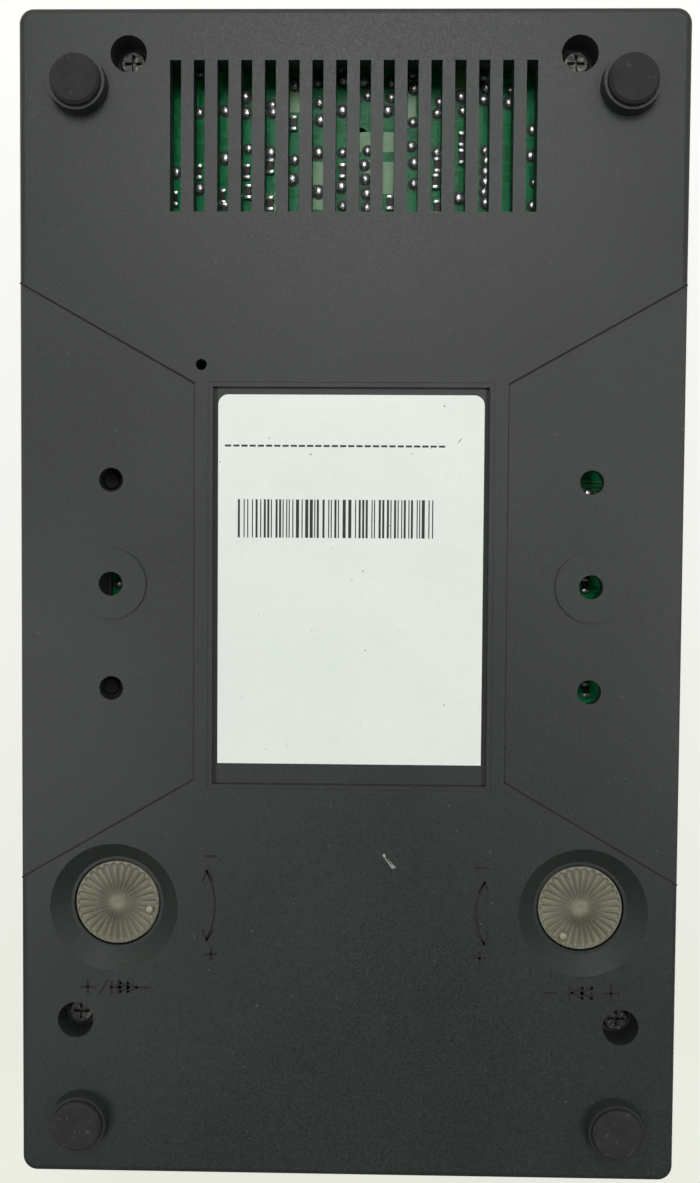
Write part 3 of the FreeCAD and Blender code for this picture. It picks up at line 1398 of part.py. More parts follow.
def make_cassette_well():
    """The tray that the cassette drops into, open at the front for the head and roller."""
    body = new_body("cassette_well")
    low = "(well_floor_height - well_floor_thick)"
    outer = "(well_half_width + well_wall)"
    add_box(body, "well_block", (f"-{outer}", outer), ("well_front - well_wall", "well_rear + well_wall"),
            (low, WELL_RIM))
    cut_box(body, "well_hollow", ("-well_half_width", "well_half_width"), ("well_front", "well_rear"),
            ("well_floor_height", f"{WELL_RIM} + 1"))
    for index, sign in enumerate(("", "-")):
        cut_round(body, f"spindle_hole_{index}", (f"{sign}reel_half_pitch", "reel_along", f"{low} - 1"),
                  "well_floor_thick + 2", "spline_reach + move_gap * 2")
    cut_round(body, "capstan_hole", ("capstan_across", "capstan_along", f"{low} - 1"), "well_floor_thick + 2",
              "capstan_radius * 2")
    cut_box(body, "head_opening",
            ("-bridge_half_width - 1", "pinch_pivot_across + pinch_arm_half_width + move_gap * 2"),
            ("well_front", "bridge_rear + bridge_slot / 3"), (f"{low} - 1", "well_floor_height + 1"))
    for index, (x, y) in enumerate(((f"-{outer} + well_leg_radius", "well_front"),
                                    (f"-{outer} + well_leg_radius", "well_rear"),
                                    (f"{outer} - well_leg_radius", "well_rear"))):
        add_round(body, f"well_leg_{index}", (x, y, DECK_TOP), f"{low} - {DECK_TOP} + well_floor_thick / 2",
                  "well_leg_radius")


def make_capstan_drive():
    """Flywheel, capstan shaft, its bearing and the bracket below it."""
    body = new_body("flywheel")
    profile = sketch_on(body, "flywheel_profile", "XZ_Plane")
    rim_inner = "(flywheel_radius - flywheel_rim)"
    middle = "(flywheel_rim / 2)"
    half_belt = "(belt_side / 2 + belt_gap)"
    web_low = f"({middle} - flywheel_web / 2)"
    web_top = f"({middle} + flywheel_web / 2)"
    draw_outline(profile, [
        ("capstan_radius", "0"),
        ("flywheel_hub_radius", "0"),
        ("flywheel_hub_radius", web_low),
        (rim_inner, web_low),
        (rim_inner, "0"),
        ("flywheel_radius", "0"),
        ("flywheel_radius", f"{middle} - {half_belt}"),
        ("flywheel_radius - groove_deep", f"{middle} - {half_belt}"),
        ("flywheel_radius - groove_deep", f"{middle} + {half_belt}"),
        ("flywheel_radius", f"{middle} + {half_belt}"),
        ("flywheel_radius", "flywheel_rim"),
        (rim_inner, "flywheel_rim"),
        (rim_inner, web_top),
        ("flywheel_hub_radius", web_top),
        ("flywheel_hub_radius", "flywheel_hub_top - flywheel_low"),
        ("capstan_radius", "flywheel_hub_top - flywheel_low"),
    ])
    turned = body.newObject("PartDesign::Revolution", "flywheel_turned")
    turned.Profile = profile
    turned.ReferenceAxis = (profile, ["V_Axis"])
    turned.Angle = 360
    place(body, "capstan_across", "capstan_along", "flywheel_low")
    bracket_top = "(flywheel_low - bracket_gap)"
    keep(cylinder("capstan_shaft", ("capstan_across", "capstan_along", bracket_top),
                  f"capstan_top - {bracket_top}", "capstan_radius"), "capstan_shaft")
    sleeve = cylinder("bearing_sleeve", ("capstan_across", "capstan_along", "bearing_low"),
                      "bearing_top - bearing_low", "bearing_radius")
    bore = cylinder("bearing_bore", ("capstan_across", "capstan_along", "bearing_low - 1"),
                    "bearing_top - bearing_low + 2", "capstan_radius + run_gap")
    flange = cylinder("bearing_collar", ("capstan_across", "capstan_along", "deck_height - bearing_flange"),
                      "bearing_flange", "bearing_radius + bearing_flange")
    keep(cut("capstan_bearing", fuse("bearing_solid", sleeve, flange), bore), "capstan_bearing")
    inside = "(flywheel_radius + move_gap * 4)"
    outside = f"({inside} + bracket_thick)"
    width = ("capstan_along - bearing_radius", "capstan_along + bearing_radius")
    low = f"({bracket_top} - bracket_thick)"
    strip = box("bracket_strip", (f"capstan_across - {outside}", f"capstan_across + {outside}"), width,
                (low, bracket_top))
    legs = [
        box("bracket_leg_left", (f"capstan_across - {outside}", f"capstan_across - {inside}"), width,
            (low, "deck_height")),
        box("bracket_leg_right", (f"capstan_across + {inside}", f"capstan_across + {outside}"), width,
            (low, "deck_height")),
    ]
    keep(fuse("flywheel_bracket", strip, *legs), "flywheel_bracket")


def belt_level():
    """Height of the belt's middle."""
    return "(flywheel_low + flywheel_rim / 2)"


def make_motor():
    """Drive motor under the deck plate, with its pulley on the lower end of the shaft."""
    keep(cylinder("drive_motor", ("motor_across", "motor_along", "motor_low"), "deck_height - motor_low",
                  "motor_radius"), "drive_motor")
    low = f"({belt_level()} - belt_side)"
    drum = cylinder("pulley_drum", ("motor_across", "motor_along", low), "2 * belt_side", "pulley_radius")
    groove = ("motor_across", "motor_along", f"{belt_level()} - belt_side / 2 - belt_gap")
    groove_outer = cylinder("pulley_groove_outer", groove, "belt_side + 2 * belt_gap", "pulley_radius + 1")
    groove_inner = cylinder("pulley_groove_inner", groove, "belt_side + 2 * belt_gap",
                            "pulley_radius - groove_deep")
    shaft = cylinder("pulley_shaft", ("motor_across", "motor_along", low),
                     f"motor_low - move_gap / 2 - {low}", "motor_shaft_radius")
    grooved = cut("pulley_grooved", drum, cut("pulley_groove", groove_outer, groove_inner))
    keep(fuse("motor_pulley", grooved, shaft), "motor_pulley")


def make_drive_belt():
    """The flat-sided belt: two arcs and two tangents round the pulley and the flywheel."""
    big = number("flywheel_radius - groove_deep + belt_gap")
    small = number("pulley_radius - groove_deep + belt_gap")
    side = number("belt_side")
    start = FreeCAD.Vector(number("capstan_across"), number("capstan_along"), 0)
    finish = FreeCAD.Vector(number("motor_across"), number("motor_along"), 0)
    low = FreeCAD.Vector(0, 0, number(f"{belt_level()} - belt_side / 2"))
    outer = belt_face(start, finish, big + side, small + side)
    inner = belt_face(start, finish, big, small)
    belt = doc.addObject("Part::Feature", "drive_belt")
    belt.Shape = outer.cut(inner).extrude(FreeCAD.Vector(0, 0, side))
    belt.Placement = FreeCAD.Placement(low, FreeCAD.Rotation())
    keep(belt, "drive_belt")


def belt_face(start, finish, big, small):
    """The plane figure bounded by two circles and their outer tangents."""
    along = finish - start
    gap = along.Length
    ahead = along.normalize()
    aside = FreeCAD.Vector(-ahead.y, ahead.x, 0)
    lean = (big - small) / gap
    rise = (1 - lean * lean) ** 0.5
    up = ahead * lean + aside * rise
    down = ahead * lean - aside * rise
    edges = [
        Part.Arc(start + down * big, start - ahead * big, start + up * big).toShape(),
        Part.LineSegment(start + up * big, finish + up * small).toShape(),
        Part.Arc(finish + up * small, finish + ahead * small, finish + down * small).toShape(),
        Part.LineSegment(finish + down * small, start + down * big).toShape(),
    ]
    return Part.Face(Part.Wire(edges))


def make_reel_drive():
    """Reel motor, its pinion, the swinging idler and both spindles."""
    can = cylinder("reel_motor_can", ("0", "reel_motor_along", "reel_motor_low"),
                   "deck_height - reel_motor_low", "reel_motor_radius")
    keep(can, "reel_motor")
    pinion_low = "turntable_low"
    drum = cylinder("pinion_drum", ("0", "reel_motor_along", pinion_low), "turntable_thick", "pinion_radius")
    neck = cylinder("pinion_neck", ("0", "reel_motor_along", "deck_height + run_gap"),
                    f"{pinion_low} - deck_height - run_gap", "motor_shaft_radius * 1.4")
    arm_low = "(turntable_low + turntable_thick + fit_gap)"
    tip = cylinder("pinion_tip", ("0", "reel_motor_along", pinion_low),
                   f"{arm_low} + arm_thick - {pinion_low}", "motor_shaft_radius")
    keep(fuse("reel_pinion", drum, neck, tip), "reel_pinion")
    idler_y = "(reel_motor_along - pinion_radius - idler_gap - idler_radius)"
    plate = box("idler_arm_plate", ("-arm_half_width", "arm_half_width"), (idler_y, "reel_motor_along"),
                (arm_low, f"{arm_low} + arm_thick"))
    ends = [cylinder(f"idler_arm_end_{index}", ("0", y, arm_low), "arm_thick", "arm_half_width")
            for index, y in enumerate((idler_y, "reel_motor_along"))]
    pin = cylinder("idler_pin", ("0", idler_y, "turntable_low"), f"{arm_low} - turntable_low + arm_thick / 2",
                   "roller_pin_radius")
    eye = cylinder("idler_eye", ("0", "reel_motor_along", f"{arm_low} - 1"), "arm_thick + 2",
                   "motor_shaft_radius + run_gap")
    keep(cut("idler_arm", fuse("idler_arm_blank", plate, pin, *ends), eye), "idler_arm")
    wheel = cylinder("idler_wheel", ("0", idler_y, "turntable_low + run_gap"), "idler_thick", "idler_radius")
    bore = cylinder("idler_bore", ("0", idler_y, "turntable_low - 1"), "idler_thick + 3",
                    "roller_pin_radius + run_gap")
    keep(cut("reel_idler", wheel, bore), "reel_idler")
    make_spindle("supply_spindle", "-")
    make_spindle("take_up_spindle", "")


def make_spindle(label, sign):
    """A turntable with a splined spindle that turns on the deck's post."""
    body = new_body(label)
    add_round(body, label + "_table", ("0", "0", "0"), "turntable_thick", "turntable_radius")
    add_round(body, label + "_stem", ("0", "0", "0"), "spindle_top - turntable_low", "spindle_radius")
    spline = add_box(body, label + "_spline", ("0", "spline_reach"),
                     ("-spline_thick / 2", "spline_thick / 2"),
                     ("turntable_thick / 2", "spindle_top - turntable_low - 1"))
    ring = body.newObject("PartDesign::PolarPattern", label + "_splines")
    ring.Originals = [spline]
    ring.Axis = (next(axis for axis in body.Origin.OriginFeatures if axis.Role == "Z_Axis"), [""])
    ring.Angle = 360
    ring.Occurrences = int(number("spline_count"))
    body.Tip = ring
    cut_round(body, label + "_bore", ("0", "0", "-1"),
              "spindle_top - arm_thick + run_gap - turntable_low + 1", "reel_post_radius + run_gap")
    place(body, f"{sign}reel_half_pitch", "reel_along", "turntable_low")


def make_head_bridge():
    """Solenoid, the sliding bridge with its plunger, and the playback head."""
    axis_height = f"({DECK_TOP} + solenoid_tall / 2)"
    rear = "(solenoid_front + solenoid_long)"
    case = box("solenoid_case", ("-solenoid_half_width", "solenoid_half_width"), ("solenoid_front", rear),
               (DECK_TOP, f"{DECK_TOP} + solenoid_tall"))
    bore = cylinder("solenoid_bore", ("0", "solenoid_front + bridge_thick", axis_height), "solenoid_long",
                    "plunger_radius + run_gap", axis="Y")
    keep(cut("play_solenoid", case, bore), "play_solenoid")
    plate = box("bridge_plate", ("-bridge_half_width", "bridge_half_width"), ("bridge_front", "bridge_rear"),
                ("bridge_low", "bridge_low + bridge_thick"))
    tab = box("bridge_tab", ("-plunger_radius * 1.5", "plunger_radius * 1.5"),
              ("bridge_front", "bridge_front + bridge_thick"),
              ("bridge_low", f"{axis_height} + plunger_radius"))
    plunger = cylinder("bridge_plunger", ("0", "solenoid_front + solenoid_long / 2", axis_height),
                       "bridge_front + bridge_thick / 2 - solenoid_front - solenoid_long / 2",
                       "plunger_radius", axis="Y")
    post = box("head_post", ("-head_half_width / 2", "head_half_width / 2"),
               ("head_front", "head_front + 2 * bridge_thick"), ("bridge_low", "head_low"))
    keep(fuse("head_bridge", plate, tab, plunger, post), "head_bridge")
    block = box("head_case", ("-head_half_width", "head_half_width"), ("head_front", "head_nose - 1"),
                ("head_low", "head_low + head_tall"))
    nose = cylinder("head_face", ("0", "head_nose - head_half_width", "head_low"), "head_tall",
                    "head_half_width")
    trim = box("head_trim", ("-head_half_width", "head_half_width"), ("head_front", "head_nose"),
               ("head_low", "head_low + head_tall"))
    face = doc.addObject("Part::Common", "head_nose_part")
    face.Base = nose
    face.Tool = trim
    keep(fuse("playback_head", block, face), "playback_head")


def make_pinch_roller():
    """The pinch arm on its post and the rubber roller on the arm's pin."""
    body = new_body("pinch_arm")
    sketch = sketch_on(body, "pinch_arm_outline", offset=ARM_LOW)
    draw_outline(sketch, [
        ("capstan_across", "roller_along - pinch_arm_half_width"),
        ("pinch_pivot_across", "pinch_pivot_along - pinch_arm_half_width"),
        ("pinch_pivot_across", "pinch_pivot_along + pinch_arm_half_width"),
        ("capstan_across", "roller_along + pinch_arm_half_width"),
    ])
    pad(body, "pinch_arm_plate", sketch, "pinch_arm_thick")
    add_round(body, "pinch_arm_eye", ("pinch_pivot_across", "pinch_pivot_along", ARM_LOW), "pinch_arm_thick",
              "pinch_arm_half_width")
    add_round(body, "pinch_arm_tip", ("capstan_across", "roller_along", ARM_LOW), "pinch_arm_thick",
              "pinch_arm_half_width")
    add_round(body, "roller_pin", ("capstan_across", "roller_along", ARM_LOW),
              f"roller_low + roller_tall + run_gap - {ARM_LOW}", "roller_pin_radius")
    cut_round(body, "pinch_arm_bore", ("pinch_pivot_across", "pinch_pivot_along", f"{ARM_LOW} - 1"),
              "pinch_arm_thick + 2", "pinch_pivot_radius + run_gap")
    drum = cylinder("roller_drum", ("capstan_across", "roller_along", "roller_low"), "roller_tall",
                    "roller_radius")
    bore = cylinder("roller_bore", ("capstan_across", "roller_along", "roller_low - 1"), "roller_tall + 2",
                    "roller_pin_radius + run_gap")
    keep(cut("pinch_roller", drum, bore), "pinch_roller")


# Keys and sliders
def make_key(label, index):
    """A hollow key cap that follows the front slope, with stop flanges and a stem."""
    body = new_body(label)
    profile = sketch_on(body, label + "_profile", "YZ_Plane")
    low = f"({KEY_FLANGE_TOP} - key_flange_thick)"
    draw_outline(profile, [
        (KEY_FRONT, low),
        (KEY_REAR, low),
        (KEY_REAR, f"{key_face_at(KEY_REAR)} + key_rise"),
        (KEY_FRONT, f"{key_face_at(KEY_FRONT)} + key_rise"),
    ])
    block = pad(body, label + "_block", profile, "key_width", both_ways=True)
    high = number(f"{key_face_at(KEY_FRONT)} + key_rise") - 0.01
    round_edges(body, label + "_edges", block, "key_round",
                lambda one, other: one.z > high and other.z > high)
    inner = sketch_on(body, label + "_inner", "YZ_Plane")
    draw_outline(inner, [
        (f"{KEY_FRONT} + key_wall", f"{low} - 1"),
        (f"{KEY_REAR} - key_wall", f"{low} - 1"),
        (f"{KEY_REAR} - key_wall", f"{key_face_at(KEY_REAR)} + key_rise - key_wall"),
        (f"{KEY_FRONT} + key_wall", f"{key_face_at(KEY_FRONT)} + key_rise - key_wall"),
    ])
    pocket(body, label + "_hollow", inner, "key_width - 2 * key_wall", both_ways=True)
    half = "(key_width / 2)"
    for name, y in (("front", (f"{KEY_FRONT} - key_gap - key_flange", f"{KEY_FRONT} + key_wall")),
                    ("rear", (f"{KEY_REAR} - key_wall", f"{KEY_REAR} + key_gap + key_flange"))):
        add_box(body, f"{label}_{name}_flange", (f"-{half}", half), y, (low, KEY_FLANGE_TOP))
    middle = f"(({KEY_FRONT} + {KEY_REAR}) / 2)"
    stem_low = f"({MAT_TOP} + dome_tall + run_gap)"
    add_round(body, label + "_stem", ("0", middle, stem_low),
              f"{key_face_at(middle)} + key_rise - key_wall / 2 - {stem_low}", "key_stem_radius")
    body.setExpression("Placement.Base.x", formula(f"({index} - (key_count - 1) / 2) * key_pitch"))


def make_key_contacts():
    """The key board and the silicone mat whose domes carry the keys."""
    half = "(key_pitch * key_count / 2 + move_gap)"
    rows = [y for _, y in key_board_places()[:2]]
    board = box("key_board_sheet", (f"-{half}", half),
                (f"{rows[0]} - stand_radius", f"{rows[1]} + stand_radius"),
                ("key_board_height", KEY_BOARD_TOP))
    holes = [cylinder(f"key_board_hole_{index}", (x, y, "key_board_height - 1"), "key_board_thick + 2",
                      "small_screw_radius + seat_gap") for index, (x, y) in enumerate(key_board_places())]
    keep(cut("key_board", board, *holes), "key_board")
    half = "((key_count - 1) * key_pitch / 2 + key_width / 2)"
    mat = box("mat_sheet", (f"-{half}", half), (KEY_FRONT, KEY_REAR), (KEY_BOARD_TOP, MAT_TOP))
    middle = f"(({KEY_FRONT} + {KEY_REAR}) / 2)"
    domes = []
    for index in range(int(number("key_count"))):
        foot = (f"({index} - (key_count - 1) / 2) * key_pitch", middle, f"{MAT_TOP} - mat_thick / 2")
        domes.append(cone(f"dome_{index}", foot, "dome_tall + mat_thick / 2", "dome_radius",
                          "dome_top_radius"))
    keep(fuse("key_mat", mat, *domes), "key_mat")


def make_slider(label, sign):
    """A grip on a thin stem that runs in the channel's slot."""
    level = f"({channel_floor_height()} + move_gap)"
    body = new_body(label)
    add_box(body, label + "_grip", ("-slider_half_long", "slider_half_long"),
            ("-slider_half_wide", "slider_half_wide"), ("0", "slider_tall"))
    for side, x in (("left", "-slider_half_long"), ("right", "slider_half_long")):
        cut_round(body, f"{label}_hollow_{side}", (x, "-slider_half_wide - 1", "slider_tall * 1.25"),
                  "2 * slider_half_wide + 2", "slider_tall * 0.8", axis="Y")
    add_box(body, label + "_stem", ("-slider_stem_half", "slider_stem_half"),
            ("-slider_stem_thick / 2", "slider_stem_thick / 2"),
            ("-move_gap - channel_floor - stem_deep", "1"))
    place(body, f"({sign}slider_across)", SLIDER_Y, level)


def make_fader(label, sign):
    """The slide potentiometer under the channel, open at the top for the stem."""
    middle = f"({sign}slider_across)"
    top = f"({channel_floor_height()} - channel_floor)"
    reach = "(slider_half_travel + slider_stem_half + move_gap)"
    case = box(label + "_case", (f"{middle} - {reach} - fader_wall", f"{middle} + {reach} + fader_wall"),
               (f"{SLIDER_Y} - channel_half_wide + fader_wall",
                f"{SLIDER_Y} + channel_half_wide - fader_wall"),
               (f"{top} - fader_tall", top))
    half_slot = "(slider_stem_thick / 2 + run_gap * 2)"
    slot = box(label + "_slot", (f"{middle} - {reach}", f"{middle} + {reach}"),
               (f"{SLIDER_Y} - {half_slot}", f"{SLIDER_Y} + {half_slot}"),
               (f"{top} - stem_deep - move_gap", f"{top} + 1"))
    keep(cut(label, case, slot), label)


def make_all():
    """Build every sub-part of the machine."""
    make_bottom_shell()
    make_top_shell()
    make_rating_label()
    make_rubber_feet()
    make_case_screws()
    for name, sign in (("speed", ""), ("backspace", "-")):
        make_trimmer_knob(name + "_knob", sign)
        make_trimmer_potentiometer(name + "_potentiometer", sign)
    make_main_board()
    make_board_screws()
    make_electrolytic_capacitors()
    make_integrated_circuits()
    make_heat_sink()
    make_sockets()
    make_display()
    make_speaker()
    make_cassette_lid()
    make_lid_window()
    make_lid_hinge_pin()
    make_deck_plate()
    make_deck_screws()
    make_cassette_well()
    make_capstan_drive()
    make_motor()
    make_drive_belt()
    make_reel_drive()
    make_head_bridge()
    make_pinch_roller()
    for index, label in enumerate(("rewind_key", "stop_key", "play_key", "forward_key", "eject_key")):
        make_key(label, index)
    make_key_contacts()
    for name, sign in (("volume", "-"), ("tone", "")):
        make_slider(name + "_slider", sign)
        make_fader(name + "_fader", sign)


def check_model():
    """Stop if any object failed or any sub-part is empty or broken."""
    doc.recompute()
    failed = [thing.Name for thing in doc.Objects if {"Invalid", "Error"} & set(thing.State)]
    if failed:
        raise RuntimeError("objects that failed: " + ", ".join(failed))
    for piece in pieces:
        if piece.Shape.isNull() or not piece.Shape.isValid():
            raise RuntimeError("bad shape: " + piece.Label)


def write_parts():
    """Write one STEP file for each sub-part."""
    os.makedirs("parts", exist_ok=True)
    for piece in pieces:
        piece.Shape.exportStep(f"parts/{piece.Label}.step")
        print(f"{piece.Label}: {len(piece.Shape.Solids)} solids, {piece.Shape.Volume:.1f} mm3")


fill_sheet()
make_all()
check_model()
write_parts()
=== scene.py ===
import json
import math
import random

import bmesh
import bpy
from mathutils import Matrix, Vector


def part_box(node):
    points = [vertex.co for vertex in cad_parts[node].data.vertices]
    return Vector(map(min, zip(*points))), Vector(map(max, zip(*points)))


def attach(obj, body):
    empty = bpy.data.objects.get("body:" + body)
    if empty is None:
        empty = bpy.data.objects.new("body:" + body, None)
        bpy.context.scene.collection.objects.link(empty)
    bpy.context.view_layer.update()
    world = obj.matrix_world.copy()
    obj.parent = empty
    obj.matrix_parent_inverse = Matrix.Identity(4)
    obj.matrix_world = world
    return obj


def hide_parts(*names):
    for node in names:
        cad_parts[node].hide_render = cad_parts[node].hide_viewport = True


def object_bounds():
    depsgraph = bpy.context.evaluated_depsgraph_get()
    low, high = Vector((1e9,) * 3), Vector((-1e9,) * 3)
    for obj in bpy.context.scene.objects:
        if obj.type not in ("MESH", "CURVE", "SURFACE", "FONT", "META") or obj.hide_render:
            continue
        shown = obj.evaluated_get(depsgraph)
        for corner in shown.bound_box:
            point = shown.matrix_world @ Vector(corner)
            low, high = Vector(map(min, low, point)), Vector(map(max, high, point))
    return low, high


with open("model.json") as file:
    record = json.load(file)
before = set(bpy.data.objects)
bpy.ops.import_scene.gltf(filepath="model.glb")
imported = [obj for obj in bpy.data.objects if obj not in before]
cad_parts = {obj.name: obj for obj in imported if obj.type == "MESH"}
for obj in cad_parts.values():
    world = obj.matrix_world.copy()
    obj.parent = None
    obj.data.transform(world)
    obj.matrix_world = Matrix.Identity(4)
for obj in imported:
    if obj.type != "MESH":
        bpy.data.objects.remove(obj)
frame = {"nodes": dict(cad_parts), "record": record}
cad_low, cad_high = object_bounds()
nodes = frame["nodes"]
MM = 0.001


# Camera: below the machine, looking up at its base, as in the photograph
FOCAL_LENGTH_PX = 1029.2
PHOTO_HEIGHT_PX = 1183.0
SENSOR_MM = 36.0
CAMERA_PLACE = (-0.00342, 0.00903, -0.2003)
CAMERA_TURN_DEG = (178.0951, -0.9675, 179.5937)


def make_camera():
    """A camera 0.2 m below the desk's plane, looking up at the base with the photograph's small tilts."""
    data = bpy.data.cameras.new("camera")
    data.sensor_width = SENSOR_MM
    data.lens = SENSOR_MM * FOCAL_LENGTH_PX / PHOTO_HEIGHT_PX
    data.clip_start = 0.005
    data.clip_end = 10.0
    camera = bpy.data.objects.new("camera", data)
    camera.location = CAMERA_PLACE
    camera.rotation_euler = [math.radians(angle) for angle in CAMERA_TURN_DEG]
    bpy.context.scene.collection.objects.link(camera)
    bpy.context.scene.camera = camera


# Node helpers
def linear(text, alpha=1.0):
    """An sRGB hex colour such as "#484D49" as linear values."""
    values = [int(text[place:place + 2], 16) / 255 for place in (1, 3, 5)]
    return [v / 12.92 if v <= 0.04045 else ((v + 0.055) / 1.055) ** 2.4 for v in values] + [alpha]


def add_node(tree, kind, sockets=None, **settings):
    """Add a node with its settings, its socket values and the sockets that feed it."""
    node = tree.nodes.new(kind)
    for name, value in settings.items():
        setattr(node, name, value)
    for socket, value in (sockets or {}).items():
        if isinstance(value, bpy.types.NodeSocket):
            tree.links.new(value, node.inputs[socket])
        else:
            node.inputs[socket].default_value = value
    return node


def empty_material(name):
    """A material whose tree holds only its output."""
    material = bpy.data.materials.new(name)
    material.use_nodes = True
    material.node_tree.nodes.clear()
    return material, material.node_tree, material.node_tree.nodes.new("ShaderNodeOutputMaterial")


def add_noise(tree, place, size_mm, **sockets):
    """A noise whose features have about a size in millimetres."""
    sockets.update({"Vector": place, "Scale": 1 / (size_mm * MM)})
    return add_node(tree, "ShaderNodeTexNoise", sockets).outputs[0]


def add_range(tree, value, first, last, low=0.0, high=1.0):
    """A value that runs from low to high while another runs from first to last."""
    sockets = {"Value": value, "From Min": first, "From Max": last, "To Min": low, "To Max": high}
    return add_node(tree, "ShaderNodeMapRange", sockets).outputs[0]


def add_mix(tree, factor, colour, other):
    """The first colour where the factor is 0, the other where it is 1."""
    return add_node(tree, "ShaderNodeMix", {0: factor, 6: colour, 7: other}, data_type="RGBA").outputs[2]


def add_math(tree, operation, first, second):
    """One sum on two values, named as Blender names it."""
    return add_node(tree, "ShaderNodeMath", {0: first, 1: second}, operation=operation).outputs[0]


# Where most of a noise's values lie
NOISE_SPAN = (0.3, 0.7)


def surface(name, base, other, patch_mm=18.0, grain_mm=0.35, grain_depth_mm=0.02, roughness=(0.5, 0.6),
            speckle=0.25, metallic=0.0, stretch=(1, 1, 1), dust=None, **shader):
    """A solid finish: two colours in soft patches, a grain in colour and bump, uneven gloss, and dust.

    Dust is given as the size of its specks in mm, how rare they are from 0.5 to 0.8, and its colour.
    """
    material, tree, output = empty_material(name)
    place = add_node(tree, "ShaderNodeTexCoord").outputs["Object"]
    patches = add_noise(tree, place, patch_mm, Detail=3.0)
    drawn = add_node(tree, "ShaderNodeMapping", {"Vector": place, "Scale": stretch}).outputs[0]
    grain = add_noise(tree, drawn, grain_mm, Detail=2.0, Roughness=0.6)
    tone = add_mix(tree, add_range(tree, patches, *NOISE_SPAN), linear(base), linear(other))
    flecks = add_range(tree, grain, *NOISE_SPAN, 1 - speckle, 1 + speckle)
    shade = add_node(tree, "ShaderNodeVectorMath", {0: tone, 1: flecks}, operation="MULTIPLY").outputs[0]
    if dust:
        speck_mm, rarity, dust_colour = dust
        lint = add_noise(tree, place, speck_mm, Detail=1.0)
        shade = add_mix(tree, add_range(tree, lint, rarity, rarity + 0.05), shade, linear(dust_colour))
    relief = add_node(tree, "ShaderNodeBump", {"Height": grain, "Distance": grain_depth_mm * MM,
                                               "Strength": 1.0})
    sockets = {"Base Color": shade, "Roughness": add_range(tree, grain, *NOISE_SPAN, *roughness),
               "Metallic": metallic, "Normal": relief.outputs[0]}
    sockets.update({key.replace("_", " "): value for key, value in shader.items()})
    body = add_node(tree, "ShaderNodeBsdfPrincipled", sockets)
    tree.links.new(body.outputs[0], output.inputs["Surface"])
    return material


def board_surface(name, deep, mid, block_mm=3.6):
    """FR4 laminate under green solder mask: bands of mid green over the tracks, deeper green between."""
    material, tree, output = empty_material(name)
    place = add_node(tree, "ShaderNodeTexCoord").outputs["Object"]
    blocks = add_node(tree, "ShaderNodeTexVoronoi", {"Vector": place, "Scale": 1 / (block_mm * MM),
                                                     "Randomness": 0.8}, distance="CHEBYCHEV", feature="F2")
    wave = add_math(tree, "PINGPONG", add_math(tree, "MULTIPLY", blocks.outputs["Distance"], 5.0), 1.0)
    track = add_range(tree, wave, 0.5, 0.6)
    relief = add_node(tree, "ShaderNodeBump", {"Height": track, "Distance": 0.03 * MM, "Strength": 0.6})
    body = add_node(tree, "ShaderNodeBsdfPrincipled", {
        "Base Color": add_mix(tree, track, linear(deep), linear(mid)), "Roughness": 0.3,
        "Specular IOR Level": 0.2, "Normal": relief.outputs[0]})
    tree.links.new(body.outputs[0], output.inputs["Surface"])
    return material


def clear_surface(name, tint, roughness=0.08):
    """A see-through tinted plastic with a faintly uneven polish."""
    material, tree, output = empty_material(name)
    place = add_node(tree, "ShaderNodeTexCoord").outputs["Object"]
    smear = add_noise(tree, place, 12.0, Detail=4.0)
    gloss = add_range(tree, smear, 0.0, 1.0, roughness, roughness * 2)
    body = add_node(tree, "ShaderNodeBsdfPrincipled", {
        "Base Color": linear(tint), "Roughness": gloss, "Transmission Weight": 0.85, "IOR": 1.49})
    tree.links.new(body.outputs[0], output.inputs["Surface"])
    return material


# Share of a stage sheet's tone that it glows with, as painted light, so that it stays pale, and share that
# takes the light
STAGE_GLOW = 0.82
STAGE_LIT_SHARE = 0.25


def stage_surface(name, rear_colour, front_colour):
    """Pale sheet seen only from its front that lets every light ray through; most of its tone is a glow,
    lighter to the rear: painted light.
    """
    material, tree, output = empty_material(name)
    path = add_node(tree, "ShaderNodeLightPath")
    side = add_node(tree, "ShaderNodeNewGeometry")
    front = add_math(tree, "SUBTRACT", 1.0, side.outputs["Backfacing"])
    seen = add_math(tree, "MAXIMUM", path.outputs["Is Camera Ray"], path.outputs["Is Transmission Ray"])
    along = add_node(tree, "ShaderNodeSeparateXYZ", {0: side.outputs["Position"]}).outputs[1]
    fade = add_range(tree, along, cad_high.y, cad_low.y)
    # The sheet's glowing tone, lighter to the rear: painted light
    paper = add_mix(tree, fade, linear(rear_colour), linear(front_colour))
    glow = add_node(tree, "ShaderNodeEmission", {"Color": paper, "Strength": STAGE_GLOW})
    pigment = add_node(tree, "ShaderNodeVectorMath", {0: paper, "Scale": STAGE_LIT_SHARE}, operation="SCALE")
    lit = add_node(tree, "ShaderNodeBsdfDiffuse", {"Color": pigment.outputs[0], "Roughness": 0.5})
    sheet = add_node(tree, "ShaderNodeAddShader", {0: glow.outputs[0], 1: lit.outputs[0]})
    clear = add_node(tree, "ShaderNodeBsdfTransparent")
    mixed = add_node(tree, "ShaderNodeMixShader", {0: add_math(tree, "MULTIPLY", seen, front),
                                                   1: clear.outputs[0], 2: sheet.outputs[0]})
    tree.links.new(mixed.outputs[0], output.inputs["Surface"])
    return material


# ABS shells, moulded against a spark-eroded tool: a fine satin grain that catches light in flecks
SHELL = surface("grained_dark_abs", "#222725", "#292E2B", patch_mm=35, grain_mm=0.38, grain_depth_mm=0.03,
                roughness=(0.38, 0.54), speckle=0.3, dust=(0.9, 0.77, "#4C504D"))
# The same ABS, painted dark as shade: the painted shade in the tool's engraved lines and at the foot of each
# step
PAINTED_SHADE = surface("painted_shade_abs", "#121413", "#1C1F1D", patch_mm=1.2, grain_mm=0.4, grain_depth_mm=0.02,
                   roughness=(0.65, 0.8), speckle=0.4)
